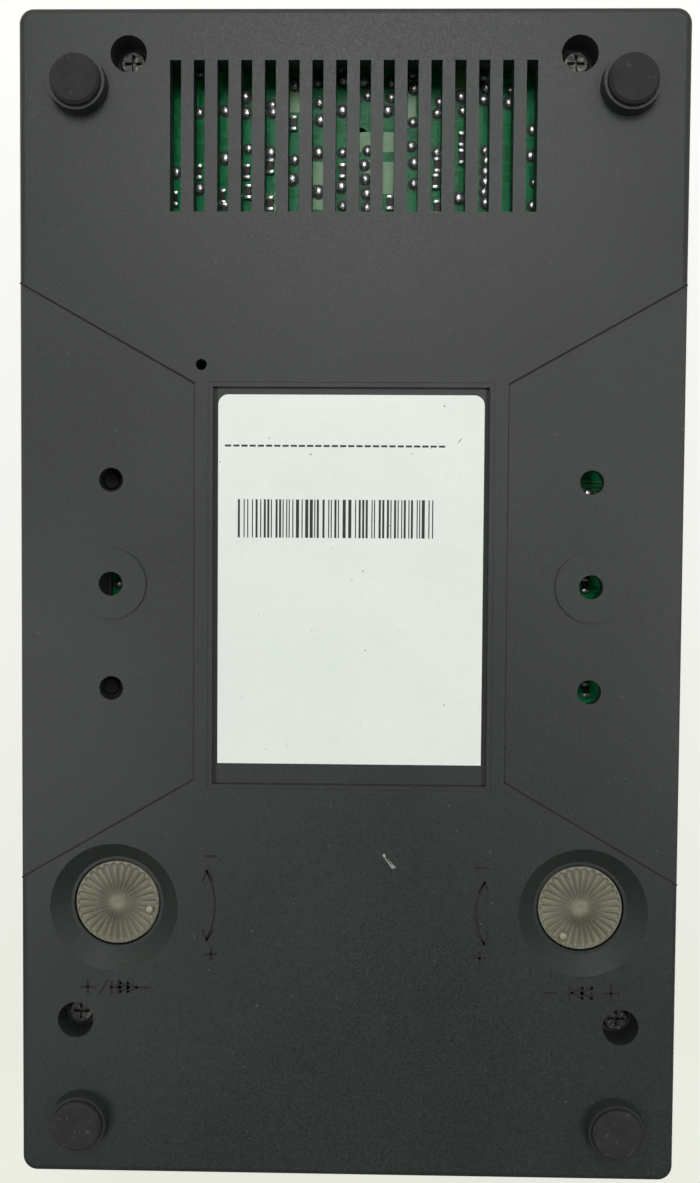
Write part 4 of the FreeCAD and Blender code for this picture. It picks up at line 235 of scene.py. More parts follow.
# Pale scuffs where the ABS was scraped
SCUFFED = surface("scuffed_abs", "#A9ACA6", "#7F837E", patch_mm=0.8, grain_mm=0.25, grain_depth_mm=0.02,
                  roughness=(0.6, 0.75), speckle=0.3)
# Moulded rubber feet: matt, with dust in the pores
RUBBER = surface("moulded_rubber", "#1D1F1F", "#262828", patch_mm=3, grain_mm=0.3, roughness=(0.75, 0.9),
                 speckle=0.3, dust=(1.3, 0.66, "#3B3D3A"))
# Blackened steel screws, grey with dust
BLACK_STEEL = surface("blackened_steel", "#333334", "#474747", patch_mm=1, grain_mm=0.2,
                      roughness=(0.35, 0.55), metallic=0.7, dust=(0.6, 0.56, "#6E6A60"))
# Polyester label foil, printed and varnished: very smooth and slightly blue-green white
FOIL = surface("label_foil", "#F1F7F0", "#EBF2EC", patch_mm=20, grain_mm=1.2, grain_depth_mm=0.002,
               roughness=(0.3, 0.36), speckle=0.012, dust=(1.0, 0.78, "#A7ACA4"))
# Printing ink on the foil
INK = surface("printing_ink", "#1F2322", "#262B2A", patch_mm=4, grain_mm=0.2, grain_depth_mm=0.001,
              roughness=(0.35, 0.45), speckle=0.08)
# Olive-grey acetal knobs: a smooth, slightly waxy moulding
KNOB = surface("olive_acetal", "#838172", "#777565", patch_mm=5, grain_mm=0.5, grain_depth_mm=0.006,
               roughness=(0.36, 0.5), speckle=0.06, dust=(0.7, 0.72, "#96947F"))
# The rubbed top of a knob's pip
RUBBED = surface("rubbed_acetal", "#A09E8C", "#8F8D7C", patch_mm=0.8, grain_mm=0.2, grain_depth_mm=0.004,
                 roughness=(0.25, 0.35), speckle=0.06)
# Black glass-filled nylon for sockets and potentiometers
BLACK_NYLON = surface("black_nylon", "#1C1D1E", "#242526", patch_mm=6, grain_mm=0.3, grain_depth_mm=0.01,
                      roughness=(0.45, 0.6), speckle=0.12)
# Zinc-plated sheet steel: bright with a faint rolled grain
PLATED = surface("zinc_plated_steel", "#B9BAB2", "#A7A9A4", patch_mm=8, grain_mm=0.4, grain_depth_mm=0.004,
                 roughness=(0.25, 0.4), speckle=0.06, metallic=1.0, stretch=(1, 0.08, 1))
# Ground and polished steel for the capstan and the head's face
POLISHED = surface("polished_steel", "#D5D6D8", "#C8C9CC", patch_mm=5, grain_mm=0.2, grain_depth_mm=0.001,
                   roughness=(0.08, 0.16), speckle=0.02, metallic=1.0, stretch=(1, 1, 0.05))
# Turned brass
BRASS = surface("turned_brass", "#C9A45C", "#BD9650", patch_mm=4, grain_mm=0.15, grain_depth_mm=0.003,
                roughness=(0.2, 0.35), speckle=0.05, metallic=1.0, stretch=(0.2, 0.2, 1))
# Extruded aluminium heat sink
ALUMINIUM = surface("extruded_aluminium", "#C3C5C8", "#B4B6BA", patch_mm=6, grain_mm=0.3,
                    grain_depth_mm=0.004, roughness=(0.3, 0.45), speckle=0.05, metallic=1.0,
                    stretch=(1, 1, 0.05))
# Printed sleeve shrunk over the capacitor cans
SLEEVE = surface("capacitor_sleeve", "#23283A", "#1D2130", patch_mm=4, grain_mm=0.4, grain_depth_mm=0.004,
                 roughness=(0.25, 0.35), speckle=0.05)
# Ground drive rubber for roller, idler and belt
DRIVE_RUBBER = surface("ground_drive_rubber", "#1B1B1B", "#222222", patch_mm=3, grain_mm=0.12,
                       grain_depth_mm=0.01, roughness=(0.7, 0.85), speckle=0.2)
# Natural acetal reel spindles
ACETAL = surface("natural_acetal", "#E2E0D6", "#D9D6CB", patch_mm=5, grain_mm=0.4, grain_depth_mm=0.004,
                 roughness=(0.3, 0.4), speckle=0.02)
# Key caps: light grey ABS with a fine grain
KEY = surface("grained_grey_abs", "#8B8F8A", "#858984", patch_mm=10, grain_mm=0.4, grain_depth_mm=0.02,
              roughness=(0.45, 0.6), speckle=0.08)
# Silicone key mat
SILICONE = surface("silicone_mat", "#A9AAA5", "#9EA09B", patch_mm=6, grain_mm=0.4, grain_depth_mm=0.006,
                   roughness=(0.5, 0.6), speckle=0.03, Subsurface_Weight=0.2)
# Black-painted pressed steel basket and the ferrite magnet
BLACK_PAINT = surface("black_painted_steel", "#1A1B1C", "#222324", patch_mm=8, grain_mm=0.5,
                      grain_depth_mm=0.01, roughness=(0.35, 0.5), speckle=0.1)
FERRITE = surface("ground_ferrite", "#3A3A3C", "#444446", patch_mm=6, grain_mm=0.3, grain_depth_mm=0.01,
                  roughness=(0.5, 0.7), speckle=0.12)
# Felted paper speaker cone
CONE_PAPER = surface("felted_cone_paper", "#2B2A28", "#353330", patch_mm=5, grain_mm=0.5, grain_depth_mm=0.05,
                     roughness=(0.85, 0.95), speckle=0.25)
# Unlit reflective display: grey-green
DISPLAY = surface("unlit_display", "#8C9A86", "#86937F", patch_mm=12, grain_mm=0.5, grain_depth_mm=0.002,
                  roughness=(0.2, 0.25), speckle=0.02)
# Tin-lead solder, bright and uneven as it froze
SOLDER = surface("bright_solder", "#F6F6F5", "#DDDEDF", patch_mm=0.6, grain_mm=0.6, grain_depth_mm=0.06,
                 roughness=(0.2, 0.36), speckle=0.08, metallic=0.8)
# A dark ring round each joint: painted shade at the joint's edge
JOINT_SHADE = surface("painted_joint_shade", "#161812", "#24261C", patch_mm=1, grain_mm=0.3, grain_depth_mm=0.01,
               roughness=(0.35, 0.5), speckle=0.2)
# Solder mask over a broad copper area, lighter than over bare laminate
POUR = surface("mask_over_copper", "#9ADF98", "#8CD28E", patch_mm=3, grain_mm=0.3, grain_depth_mm=0.004,
               roughness=(0.25, 0.35), speckle=0.05)
# Brown epoxy bodies of the surface-mounted chips
CHIP = surface("chip_epoxy", "#1D1814", "#2A221B", patch_mm=1, grain_mm=0.15, grain_depth_mm=0.004,
               roughness=(0.35, 0.5), speckle=0.1)
# White pad printing on the cover and the keys
PRINT = surface("pad_printing", "#D8D9D2", "#CFD0C9", patch_mm=3, grain_mm=0.2, grain_depth_mm=0.002,
                roughness=(0.5, 0.6), speckle=0.05)
# Faint segments of the display at rest
SEGMENT = surface("resting_segment", "#7C8A77", "#788573", patch_mm=4, grain_mm=0.3, grain_depth_mm=0.001,
                  roughness=(0.2, 0.25), speckle=0.02)
# Green solder mask over the board's tracks and laminate
BOARD = board_surface("green_solder_mask", "#0E9A57", "#22B573")
# Smoked acrylic windows and the power lamp's red lens
SMOKED = clear_surface("smoked_acrylic", "#8E9192")
LENS = clear_surface("red_lens", "#E2301E", 0.2)

FINISHES = {
    "shell": SHELL, "foot_rubber": RUBBER, "screw_steel": BLACK_STEEL, "label_foil": FOIL,
    "knob_plastic": KNOB, "dark_plastic": BLACK_NYLON, "circuit_board": BOARD, "capacitor_sleeve": SLEEVE,
    "sink_aluminium": ALUMINIUM, "smoked_window": SMOKED, "display_glass": DISPLAY, "lamp_lens": LENS,
    "speaker_metal": BLACK_PAINT, "magnet_ferrite": FERRITE, "cone_paper": CONE_PAPER, "plated_steel": PLATED,
    "polished_steel": POLISHED, "bearing_brass": BRASS, "drive_rubber": DRIVE_RUBBER, "reel_plastic": ACETAL,
    "key_plastic": KEY, "mat_silicone": SILICONE,
}


def dress_nodes():
    """Give each CAD node the finish of its slot."""
    for entry in frame["record"]["subparts"]:
        node = nodes[entry["node"]]
        node.data.materials.clear()
        node.data.materials.append(FINISHES[entry["material_slot"]])


# Stage: one sheet above the machine for views from below, one under it for views from above
def make_sheet(name, height, facing, rear_colour, front_colour):
    """A large level sheet that faces up or down."""
    mesh = bpy.data.meshes.new(name)
    shape = bmesh.new()
    bmesh.ops.create_grid(shape, x_segments=1, y_segments=1, size=3.0)
    if facing < 0:
        bmesh.ops.reverse_faces(shape, faces=shape.faces)
    bmesh.ops.translate(shape, verts=shape.verts, vec=(0, 0, height))
    shape.to_mesh(mesh)
    shape.free()
    mesh.materials.append(stage_surface(name + "_paper", rear_colour, front_colour))
    thing = bpy.data.objects.new(name, mesh)
    bpy.context.scene.collection.objects.link(thing)


def make_lamp(name, place, aim, size, power, colour="#FFFFFF"):
    """A square soft lamp that looks at a point."""
    data = bpy.data.lights.new(name, "AREA")
    data.size = size
    data.energy = power
    data.color = linear(colour)[:3]
    lamp = bpy.data.objects.new(name, data)
    lamp.location = place
    lamp.rotation_euler = (Vector(aim) - Vector(place)).to_track_quat("-Z", "Y").to_euler()
    bpy.context.scene.collection.objects.link(lamp)


def make_world():
    """A soft room: bright to the rear and the sides, dark behind the camera, pale where it shows."""
    front_level, rear_level, seen_level = 0.16, 0.62, 0.98
    dark_offset, dark_squeeze = (0.0, 0.15, 0.97), (1.0, 0.5, 0.6)
    world = bpy.data.worlds.new("surround")
    world.use_nodes = True
    tree = world.node_tree
    tree.nodes.clear()
    way = add_node(tree, "ShaderNodeTexCoord").outputs["Generated"]
    across = add_node(tree, "ShaderNodeSeparateXYZ", {0: way})
    rearward = add_range(tree, across.outputs[1], -0.7, 0.5, front_level, rear_level)
    offset = add_node(tree, "ShaderNodeVectorMath", {0: way, 1: dark_offset}, operation="ADD")
    squeezed = add_node(tree, "ShaderNodeVectorMath", {0: offset.outputs[0], 1: dark_squeeze},
                        operation="MULTIPLY")
    reach = add_node(tree, "ShaderNodeVectorMath", {0: squeezed.outputs[0]}, operation="LENGTH")
    shade = add_range(tree, reach.outputs["Value"], 0.06, 0.4, 0.05, 1.0)
    level = add_math(tree, "MULTIPLY", rearward, shade)
    path = add_node(tree, "ShaderNodeLightPath")
    strength = add_node(tree, "ShaderNodeMix", {0: path.outputs["Is Camera Ray"], 2: level, 3: seen_level})
    back = add_node(tree, "ShaderNodeBackground", {"Color": linear("#F8F9F2"),
                                                   "Strength": strength.outputs[0]})
    output = add_node(tree, "ShaderNodeOutputWorld")
    tree.links.new(back.outputs[0], output.inputs["Surface"])
    bpy.context.scene.world = world


def make_stage():
    """Two pale sheets, three lamps below the machine, two above it, and the room."""
    # Each sheet glows lighter to the rear than to the front: painted light
    make_sheet("desk_above", cad_high.z + 0.001, -1, "#FFFFFD", "#ECEEE3")
    make_sheet("desk_below", 0.0, 1, "#F2F2EE", "#EAEAE6")
    make_lamp("rear_lamp_below", (0.0, 0.42, -0.75), (0, 0, 0), 0.4, 2.5)
    make_lamp("left_lamp_below", (0.45, -0.18, -0.85), (0, 0, 0), 0.25, 1.45)
    make_lamp("right_lamp_below", (-0.45, -0.05, -0.85), (0, 0, 0), 0.25, 1.35)
    make_lamp("key_lamp_above", (-0.45, -0.5, 0.9), (0, 0, 0.03), 0.6, 5.0)
    make_lamp("fill_lamp_above", (0.7, 0.3, 0.7), (0, 0, 0.03), 0.9, 2.5)
    make_world()


# Piece helpers
def new_piece(name, shape, material, body="housing", smooth=False):
    """Turn a finished bmesh into a piece that rides on a body."""
    mesh = bpy.data.meshes.new(name)
    for face in shape.faces:
        face.smooth = smooth
    shape.to_mesh(mesh)
    shape.free()
    mesh.materials.append(material)
    piece = bpy.data.objects.new(name, mesh)
    bpy.context.scene.collection.objects.link(piece)
    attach(piece, body)
    return piece


def turned(profile, steps=12):
    """A mesh spun from a profile of (radius, height) in millimetres."""
    shape = bmesh.new()
    verts = [shape.verts.new((radius * MM, 0, height * MM)) for radius, height in profile]
    edges = [shape.edges.new(pair) for pair in zip(verts, verts[1:])]
    bmesh.ops.spin(shape, geom=verts + edges, cent=(0, 0, 0), axis=(0, 0, 1), dvec=(0, 0, 0),
                   angle=math.tau, steps=steps, use_merge=True)
    bmesh.ops.remove_doubles(shape, verts=shape.verts, dist=0.0005 * MM)
    bmesh.ops.recalc_face_normals(shape, faces=shape.faces)
    mesh = bpy.data.meshes.new("turned")
    shape.to_mesh(mesh)
    shape.free()
    return mesh


def stamp(shape, pattern, place, size=1.0, axis=(0, 0, 1)):
    """Add a copy of a turned mesh at a place in millimetres, its own axis along the given one."""
    turn = Vector(axis).to_track_quat("Z", "Y").to_matrix().to_4x4()
    copy = pattern.copy()
    copy.transform(Matrix.Translation(Vector(place) * MM) @ turn @ Matrix.Scale(size, 4))
    shape.from_mesh(copy)
    bpy.data.meshes.remove(copy)


def add_block(shape, low, high, round_mm=0.0, turn=0.0):
    """A box between two corners in millimetres, with rounded edges, turned about its own upright axis."""
    middle = (Vector(low) + Vector(high)) / 2 * MM
    size = (Vector(high) - Vector(low)) * MM
    matrix = Matrix.Translation(middle) @ Matrix.Rotation(turn, 4, "Z") @ Matrix.Diagonal((*size, 1))
    made = bmesh.ops.create_cube(shape, size=1.0, matrix=matrix)["verts"]
    if round_mm:
        edges = list({edge for vert in made for edge in vert.link_edges})
        bmesh.ops.bevel(shape, geom=made + edges, offset=round_mm * MM, offset_type="OFFSET", affect="EDGES",
                        segments=2, profile=0.5, material=-1, clamp_overlap=True)


def add_stroke(shape, start, end, wide, low, high):
    """A straight printed or engraved line between two points in millimetres."""
    run = Vector(end) - Vector(start)
    middle = (Vector(start) + Vector(end)) / 2
    half = Vector((run.length / 2 + wide / 2, wide / 2))
    add_block(shape, (middle.x - half.x, middle.y - half.y, low),
              (middle.x + half.x, middle.y + half.y, high), turn=math.atan2(run.y, run.x))


def add_arc(shape, centre, radius, first, last, wide, low, high, steps=14):
    """A curved line: a small upright face spun through part of a turn about a centre."""
    inner, outer = radius - wide / 2, radius + wide / 2
    corners = [(inner, low), (outer, low), (outer, high), (inner, high)]
    way = Vector((math.cos(first), math.sin(first), 0))
    verts = [shape.verts.new((Vector((*centre, 0)) + way * reach + Vector((0, 0, height))) * MM)
             for reach, height in corners]
    face = shape.faces.new(verts)
    bmesh.ops.spin(shape, geom=[face], cent=Vector((*centre, 0)) * MM, axis=(0, 0, 1), dvec=(0, 0, 0),
                   angle=last - first, steps=steps, use_duplicate=False)
    bmesh.ops.recalc_face_normals(shape, faces=shape.faces)


# Underside marks: levels of the base, of the side zones and of the label's field
UNDERSIDE = 4.0
ZONE_LEVEL = 4.35
FIELD_LEVEL = 4.5
MARK_WIDE = 0.48
MARK_PROUD = 0.03
MARK_SUNK = 0.05


def add_mark(shape, start, end, wide=MARK_WIDE, level=UNDERSIDE):
    """A dark line on the underside, a hair proud of it so that it shows."""
    add_stroke(shape, start, end, wide, level - MARK_PROUD, level + MARK_SUNK)


def add_sign(shape, x, y, size, plus):
    """A plus or minus sign."""
    add_mark(shape, (x - size / 2, y), (x + size / 2, y))
    if plus:
        add_mark(shape, (x, y - size / 2), (x, y + size / 2))


def add_triangle(shape, x, y, size, way):
    """An arrowhead along X, drawn with three lines."""
    back = x - way * size / 2
    for side in (-1, 1):
        add_mark(shape, (x + way * size / 2, y), (back, y + side * size / 2))
    add_mark(shape, (back, y - size / 2), (back, y + size / 2))


def add_turn_arrow(shape, side, x, top, low):
    """An arc beside a knob with an arrowhead at each end, a minus to the rear and a plus to the front."""
    bow, arc_wide, head_long, head_wide = 1.7, 0.5, 1.9, 2.1
    half = (top - low) / 2
    radius = (half ** 2 + bow ** 2) / (2 * bow)
    sweep = math.asin(half / radius)
    start = math.pi if side > 0 else 0.0
    centre = (x - side * bow + side * radius, (top + low) / 2)
    add_arc(shape, centre, radius, start - sweep, start + sweep, arc_wide,
            UNDERSIDE - MARK_PROUD, UNDERSIDE + MARK_SUNK)
    for end, way in ((top, 1), (low, -1)):
        for lean in (0.75, -0.2):
            barb = (x - side * lean * head_wide + side * 0.3, end - way * head_long)
            add_mark(shape, (x, end), barb)
    sign_x = x - side * 0.9
    add_sign(shape, sign_x, top + 3.0, 2.1, False)
    add_sign(shape, sign_x, low - 2.9, 2.2, True)


def make_trimmer_marks():
    """Engraved arcs with arrowheads, plus and minus, and small pictograms beside the two trimmers."""
    shape = bmesh.new()
    add_turn_arrow(shape, 1, 28.4, -54.2, -68.2)
    add_turn_arrow(shape, -1, -27.4, -55.9, -68.3)
    row, half = -78.1, 1.2
    add_sign(shape, 52.4, row, 2.6, True)
    add_mark(shape, (49.9, row - half), (48.4, row + 1.3))
    for x in (47.6, 46.2):
        add_mark(shape, (x, row - half), (x, row + 1.3))
    add_mark(shape, (47.9, row), (45.2, row))
    for x in (44.9, 43.4):
        add_triangle(shape, x, row, 1.8, -1)
    add_sign(shape, 41.0, row, 2.4, False)
    row, half = -78.0, 1.4
    add_sign(shape, -40.8, row, 2.4, False)
    add_mark(shape, (-44.6, row - half), (-44.6, row + half))
    for x in (-46.1, -48.0):
        add_triangle(shape, x, row, 2.1, 1)
    add_sign(shape, -52.9, row, 2.8, True)
    # The engraved lines are drawn dark as painted shade
    new_piece("trimmer_marks", shape, PAINTED_SHADE)


def make_step_painted_shade():
    """Painted shade in the foot of each step: round the two side zones and round the label's field."""
    shape = bmesh.new()
    inner, beyond = 31.1, 65.6
    rear, front = 43.25, -35.75
    for side in (-1, 1):
        for near, far in ((rear, 62.75), (front, -55.95)):
            add_mark(shape, (side * inner, near), (side * beyond, far), 0.42, ZONE_LEVEL)
        add_mark(shape, (side * inner, front), (side * inner, rear), 0.2, ZONE_LEVEL)
    half, low, high = 26.95, -36.45, 42.45
    for start, end, wide in (((-half, high), (half, high), 0.4), ((-half, low), (half, low), 0.22),
                             ((-half, low), (-half, high), 0.78), ((half, low), (half, high), 0.78)):
        add_mark(shape, start, end, wide, FIELD_LEVEL)
    new_piece("step_painted_shade", shape, PAINTED_SHADE)


def make_scuffs():
    """A pale scrape in front of the label, in two strokes."""
    shape = bmesh.new()
    for shift, wide in ((0.0, 0.5), (0.45, 0.3)):
        add_mark(shape, (-7.2 - shift, -50.6 - shift), (-8.9 - shift, -53.0), wide)
    new_piece("scuffs", shape, SCUFFED)


def make_label_print():
    """A dashed rule, a block of plain bars and a stray pen tick on the rating label, with nothing to read."""
    shape = bmesh.new()
    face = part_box("rating_label")[0].z / MM
    low, high = face - 0.012, face + 0.02
    dash_long, dash_pitch, rule_left = 1.23, 1.63, 25.0
    for dash in range(27):
        x = rule_left - dash_pitch * dash
        add_block(shape, (x - dash_long, 30.8, low), (x, 31.2, high))
    bars = random.Random(4)
    x, block_end = -16.4, 22.0
    while x < block_end:
        wide = bars.choice((0.22, 0.22, 0.42, 0.62))
        add_block(shape, (x, 12.8, low), (x + wide, 20.4, high))
        x += wide + bars.choice((0.28, 0.28, 0.5, 0.72))
    add_stroke(shape, (-21.9, 32.6), (-21.2, 31.8), 0.12, low, high)
    new_piece("label_print", shape, INK)


# Knobs
FLUTES = 30
# A flute's share of its pitch and its depth, where it starts, where its end rounds off and over what length
FLUTE_SHARE = 0.96
FLUTE_DEEP = 0.8
FLUTE_START = 0.8
FLUTE_ROUND = 7.35
FLUTE_END = 0.85
# Where each knob's pip stands
PIP_REACH = 6.7
PIP_TURNS = {"speed_knob": math.radians(192), "backspace_knob": math.radians(300)}


def ease(value):
    """A soft step from 0 to 1."""
    value = min(max(value, 0.0), 1.0)
    return value * value * (3 - 2 * value)


def flute_depth(radius, angle):
    """How deep the hollow flutes lie at a place on the knob's face, in millimetres."""
    pitch = math.tau / FLUTES
    off = abs((angle + pitch / 2) % pitch - pitch / 2) * radius
    round_end = math.sqrt(max(0.0, 1 - max(0.0, (radius - FLUTE_ROUND) / FLUTE_END) ** 2))
    half = FLUTE_SHARE * pitch * radius / 2 * round_end
    if off >= half:
        return 0.0
    fading_in = ease((radius - FLUTE_START) / 3.0)
    return FLUTE_DEEP * fading_in * round_end * (1 - (off / half) ** 2)


def make_fine_knob(name):
    """A thumb knob with hollow flutes between thin crests, a dimple, a rubbed pip and its stem."""
    low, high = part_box(name)
    middle = (low + high) / 2 / MM
    radius = (high.x - low.x) / 2 / MM
    top = (high.z - low.z) / MM
    crown, stem, rim = 0.4, 3.0, radius - 0.3
    back = crown + 3.2
    face = [step * 0.45 for step in range(15)] + [6.7, 7.1, 7.35, 7.6, 7.8, 7.95, 8.08, 8.18]
    profile = [(reach, crown * (reach / rim) ** 2 + 0.1 * math.exp(-(reach / 0.5) ** 2)) for reach in face]
    profile += [(radius - 0.12, crown + 0.06), (radius, crown + 0.3), (radius, back), (stem, back),
                (stem, top), (0, top)]
    pattern = turned(profile, steps=FLUTES * 8)
    shape = bmesh.new()
    stamp(shape, pattern, (0, 0, 0))
    for vert in shape.verts:
        reach = math.hypot(vert.co.x, vert.co.y) / MM
        if vert.co.z < 1.2 * crown * MM:
            vert.co.z += flute_depth(reach, math.atan2(vert.co.y, vert.co.x)) * MM
    bmesh.ops.translate(shape, verts=shape.verts, vec=(middle.x * MM, middle.y * MM, low.z))
    knob = new_piece("fluted_" + name, shape, KNOB, name)
    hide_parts(name)
    turn = PIP_TURNS[name]
    dome = turned([(0, -0.38), (0.4, -0.36), (0.64, -0.26), (0.76, -0.06), (0.78, 1.0), (0, 1.0)], steps=20)
    pip = bmesh.new()
    stamp(pip, dome, (middle.x + PIP_REACH * math.cos(turn), middle.y + PIP_REACH * math.sin(turn),
                      low.z / MM + crown))
    new_piece(name + "_pip", pip, RUBBED, name, smooth=True)


# Solder side of the board
BOARD_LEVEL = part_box("main_board")[0].z / MM
# Levels between which the broad copper areas and the tracks lie
BOARD_SKIN = (BOARD_LEVEL - 0.02, BOARD_LEVEL + 0.01)
# The strip of board behind each vent slot, from +X, and where the slots end to the rear
FIRST_STRIP = 36.4
STRIP_PITCH = 4.86
VENT_REAR = 109.1
# Joints and chips behind each slot, from +X: distances from the slots' rear end
SLOT_JOINTS = (
    ((21.7,), (27.0,)),
    ((1.5, 9.7, 25.0), (21.6,)),
    ((9.3, 18.9), (26.6, 29.4)),
    ((6.4, 9.7, 16.9), (21.6, 25.6)),
    ((8.1, 9.6, 17.7), (20.5, 28.0)),
    ((4.0, 19.2, 23.1), (11.8,)),
    ((3.5, 7.7, 11.2, 17.7, 25.6), ()),
    ((0.6, 2.9, 9.3, 17.7, 24.6, 28.5), (21.4,)),
    ((3.3, 6.2, 17.3, 20.2, 23.1, 26.0, 28.9), ()),
    ((3.5, 6.6, 9.3), (27.8,)),
    ((1.8, 4.7, 11.6, 16.4, 19.8, 24.0), ()),
    ((7.5, 9.8, 17.7), (20.2, 23.5, 28.8)),
    ((6.4, 9.3, 26.9), (15.0, 18.5)),
    ((2.2, 4.5, 7.0, 17.3, 19.4, 21.5, 23.6, 25.7, 27.8), ()),
    ((5.0, 7.7), ()),
    ((13.1, 18.3, 23.7, 28.3), ()),
)
# Joints and chips behind the access holes
HOLE_JOINTS = ((-48.6, 22.4), (48.1, 3.1))
HOLE_CHIPS = ((-48.3, 3.6), (-48.7, -18.0))
# Broad copper areas: two opposite corners of each
COPPER_AREAS = (
    ((1.2, 91.6), (-9.6, 95.6)), ((10.6, 99.6), (13.6, 104.2)), ((5.4, 85.0), (8.8, 89.6)),
    ((-8.6, 83.2), (-5.6, 89.6)), ((-19.6, 103.6), (-24.2, 110.0)), ((13.0, 80.0), (16.2, 82.4)),
    ((-11.0, 96.5), (-12.6, 110.0)), ((8.6, 80.0), (4.6, 83.0)), ((-2.2, 86.0), (-4.0, 90.0)),
    ((23.0, 88.0), (25.4, 91.0)),
)


def add_chip(bodies, caps, x, y):
    """A surface-mounted chip: a dark body with a bright soldered cap at each end."""
    seat = BOARD_LEVEL + 0.02
    add_block(bodies, (x - 0.65, y - 0.95, BOARD_LEVEL - 0.6), (x + 0.65, y + 0.95, seat), 0.08)
    for side in (-1, 1):
        end = y + side * 1.15
        add_block(caps, (x - 0.8, end - 0.42, BOARD_LEVEL - 0.66), (x + 0.8, end + 0.42, seat), 0.16)


def make_copper():
    """Broad copper areas, hatched tracks behind the vents and tracks behind an access hole at -X."""
    shape = bmesh.new()
    low, high = BOARD_SKIN
    for one, other in COPPER_AREAS:
        add_block(shape, (*map(min, one, other), low), (*map(max, one, other), high))
    for line in range(9):
        x = 13.0 + 0.75 * line
        add_stroke(shape, (x, 83.4), (x + 1.6, 79.6), 0.2, low, high)
    for line in range(4):
        y = 24.9 - 0.8 * line
        add_stroke(shape, (-47.0, y), (-52.2, y), 0.28, low, high)
    new_piece("copper_areas", shape, POUR)


def make_solder_side():
    """Soldered joints, each on a dark ring of painted shade, and surface-mounted chips on the board's
    underside.
    """
    dome = turned([(0, -0.6), (0.5, -0.57), (0.72, -0.47), (0.88, -0.24), (0.98, 0.02), (0, 0.02)], steps=12)
    pad = turned([(0, -0.03), (1.22, -0.03), (1.22, 0.01), (0, 0.01)], steps=12)
    joints, rings, bodies, caps = (bmesh.new() for _ in range(4))
    scatter = random.Random(11)

    def add_joint(place, size=1.0):
        stamp(joints, dome, place, size)
        # A dark disc under each joint: painted shade at the joint's edge
        stamp(rings, pad, place, size)

    for slot, (spots, chips) in enumerate(SLOT_JOINTS):
        x = FIRST_STRIP - STRIP_PITCH * slot
        for along in spots:
            place = (x + scatter.uniform(-0.5, 0.5), VENT_REAR - along, BOARD_LEVEL)
            add_joint(place, scatter.uniform(1.0, 1.3))
        for along in chips:
            add_chip(bodies, caps, x + scatter.uniform(-0.3, 0.3), VENT_REAR - along)
    for spot in HOLE_JOINTS:
        add_joint((*spot, BOARD_LEVEL))
    for spot in HOLE_CHIPS:
        add_chip(bodies, caps, *spot)
    new_piece("solder_joints", joints, SOLDER, smooth=True)
    new_piece("joint_shade_rings", rings, JOINT_SHADE)
    new_piece("surface_chips", bodies, CHIP)
    new_piece("chip_caps", caps, SOLDER, smooth=True)


def make_trimmer_backs():
    """Black backs of three preset trimmers behind the access holes at +X, two with a turned disc."""
    shape = bmesh.new()
    disc = turned([(0, -0.5), (1.5, -0.5), (1.7, -0.3), (1.7, 0.1), (0, 0.1)], steps=24)
    face, seat = BOARD_LEVEL - 1.4, BOARD_LEVEL + 0.02
    for y in (24.4, -17.9):
        add_block(shape, (46.2, y - 3.0, face), (52.2, y + 3.0, seat), 0.3)
        stamp(shape, disc, (49.2, y, face))
    add_block(shape, (49.3, 0.2, face), (53.6, 6.6, seat), 0.3)
    new_piece("trimmer_backs", shape, BLACK_NYLON)


# Cover: its main plane falls from the rear edge to the front, and the keys' tops fall faster
CASE_LONG = 233.0
TOP_REAR = 54.0
TOP_SLOPE = 8.0 / CASE_LONG
KEY_SLOPE = 0.16
KEY_REAR, KEY_FRONT = -79.0, -103.0
KEY_TOP_REAR = 48.105
KEY_PITCH = 18.6
# Half the thickness of pad printing, and of the display's segments
PRINT_HALF = 0.03
SEGMENT_HALF = 0.02
LEFTWARD, RIGHTWARD, REARWARD = math.pi, 0.0, math.pi / 2
# Each key's symbol, keys from -X to +X: arrowheads as (x, y, radius, turn) and bars by two corners
KEY_SYMBOLS = {
    "rewind_key": (((-1.5, 0, 1.7, LEFTWARD), (1.5, 0, 1.7, LEFTWARD)), ()),
    "stop_key": ((), (((-1.5, -1.5), (1.5, 1.5)),)),
    "play_key": (((0, 0, 2.0, RIGHTWARD),), ()),
    "forward_key": (((-1.5, 0, 1.7, RIGHTWARD), (1.5, 0, 1.7, RIGHTWARD)), ()),
    "eject_key": (((0, 0.6, 1.8, REARWARD),), (((-1.6, -1.7), (1.6, -1.1)),)),
}


def lay_on(shape, y, level, slope):
    """Tilt flat artwork drawn about (0, 0) on z = 0 and set it down on a sloped face."""
    tilt = Matrix.Rotation(math.atan(slope), 4, "X")
    place = Matrix.Translation(Vector((0, y, level)) * MM)
    bmesh.ops.transform(shape, matrix=place @ tilt, verts=shape.verts)


def add_pointer(shape, x, y, radius, turn):
    """A solid printed arrowhead that points along an angle."""
    matrix = Matrix.Translation(Vector((x, y, 0)) * MM) @ Matrix.Rotation(turn - math.pi / 2, 4, "Z")
    bmesh.ops.create_cone(shape, cap_ends=True, segments=3, radius1=radius * MM, radius2=radius * MM,
                          depth=2 * PRINT_HALF * MM, matrix=matrix)


def add_flat(shape, low, high, half):
    """A flat bar between two corners on z = 0."""
    add_block(shape, (*low, -half), (*high, half))


def make_key_symbols():
    """The usual tape symbols on the five keys, each riding on its own key."""
    middle = (KEY_REAR + KEY_FRONT) / 2
    level = KEY_TOP_REAR + (middle - KEY_REAR) * KEY_SLOPE
    for index, (name, (arrowheads, bars)) in enumerate(KEY_SYMBOLS.items()):
        x = (index - 2) * KEY_PITCH
        shape = bmesh.new()
        for across, along, radius, turn in arrowheads:
            add_pointer(shape, x + across, along, radius, turn)
        for low, high in bars:
            add_flat(shape, (x + low[0], low[1]), (x + high[0], high[1]), PRINT_HALF)
        lay_on(shape, middle, level, KEY_SLOPE)
        new_piece(name + "_symbol", shape, PRINT, name)


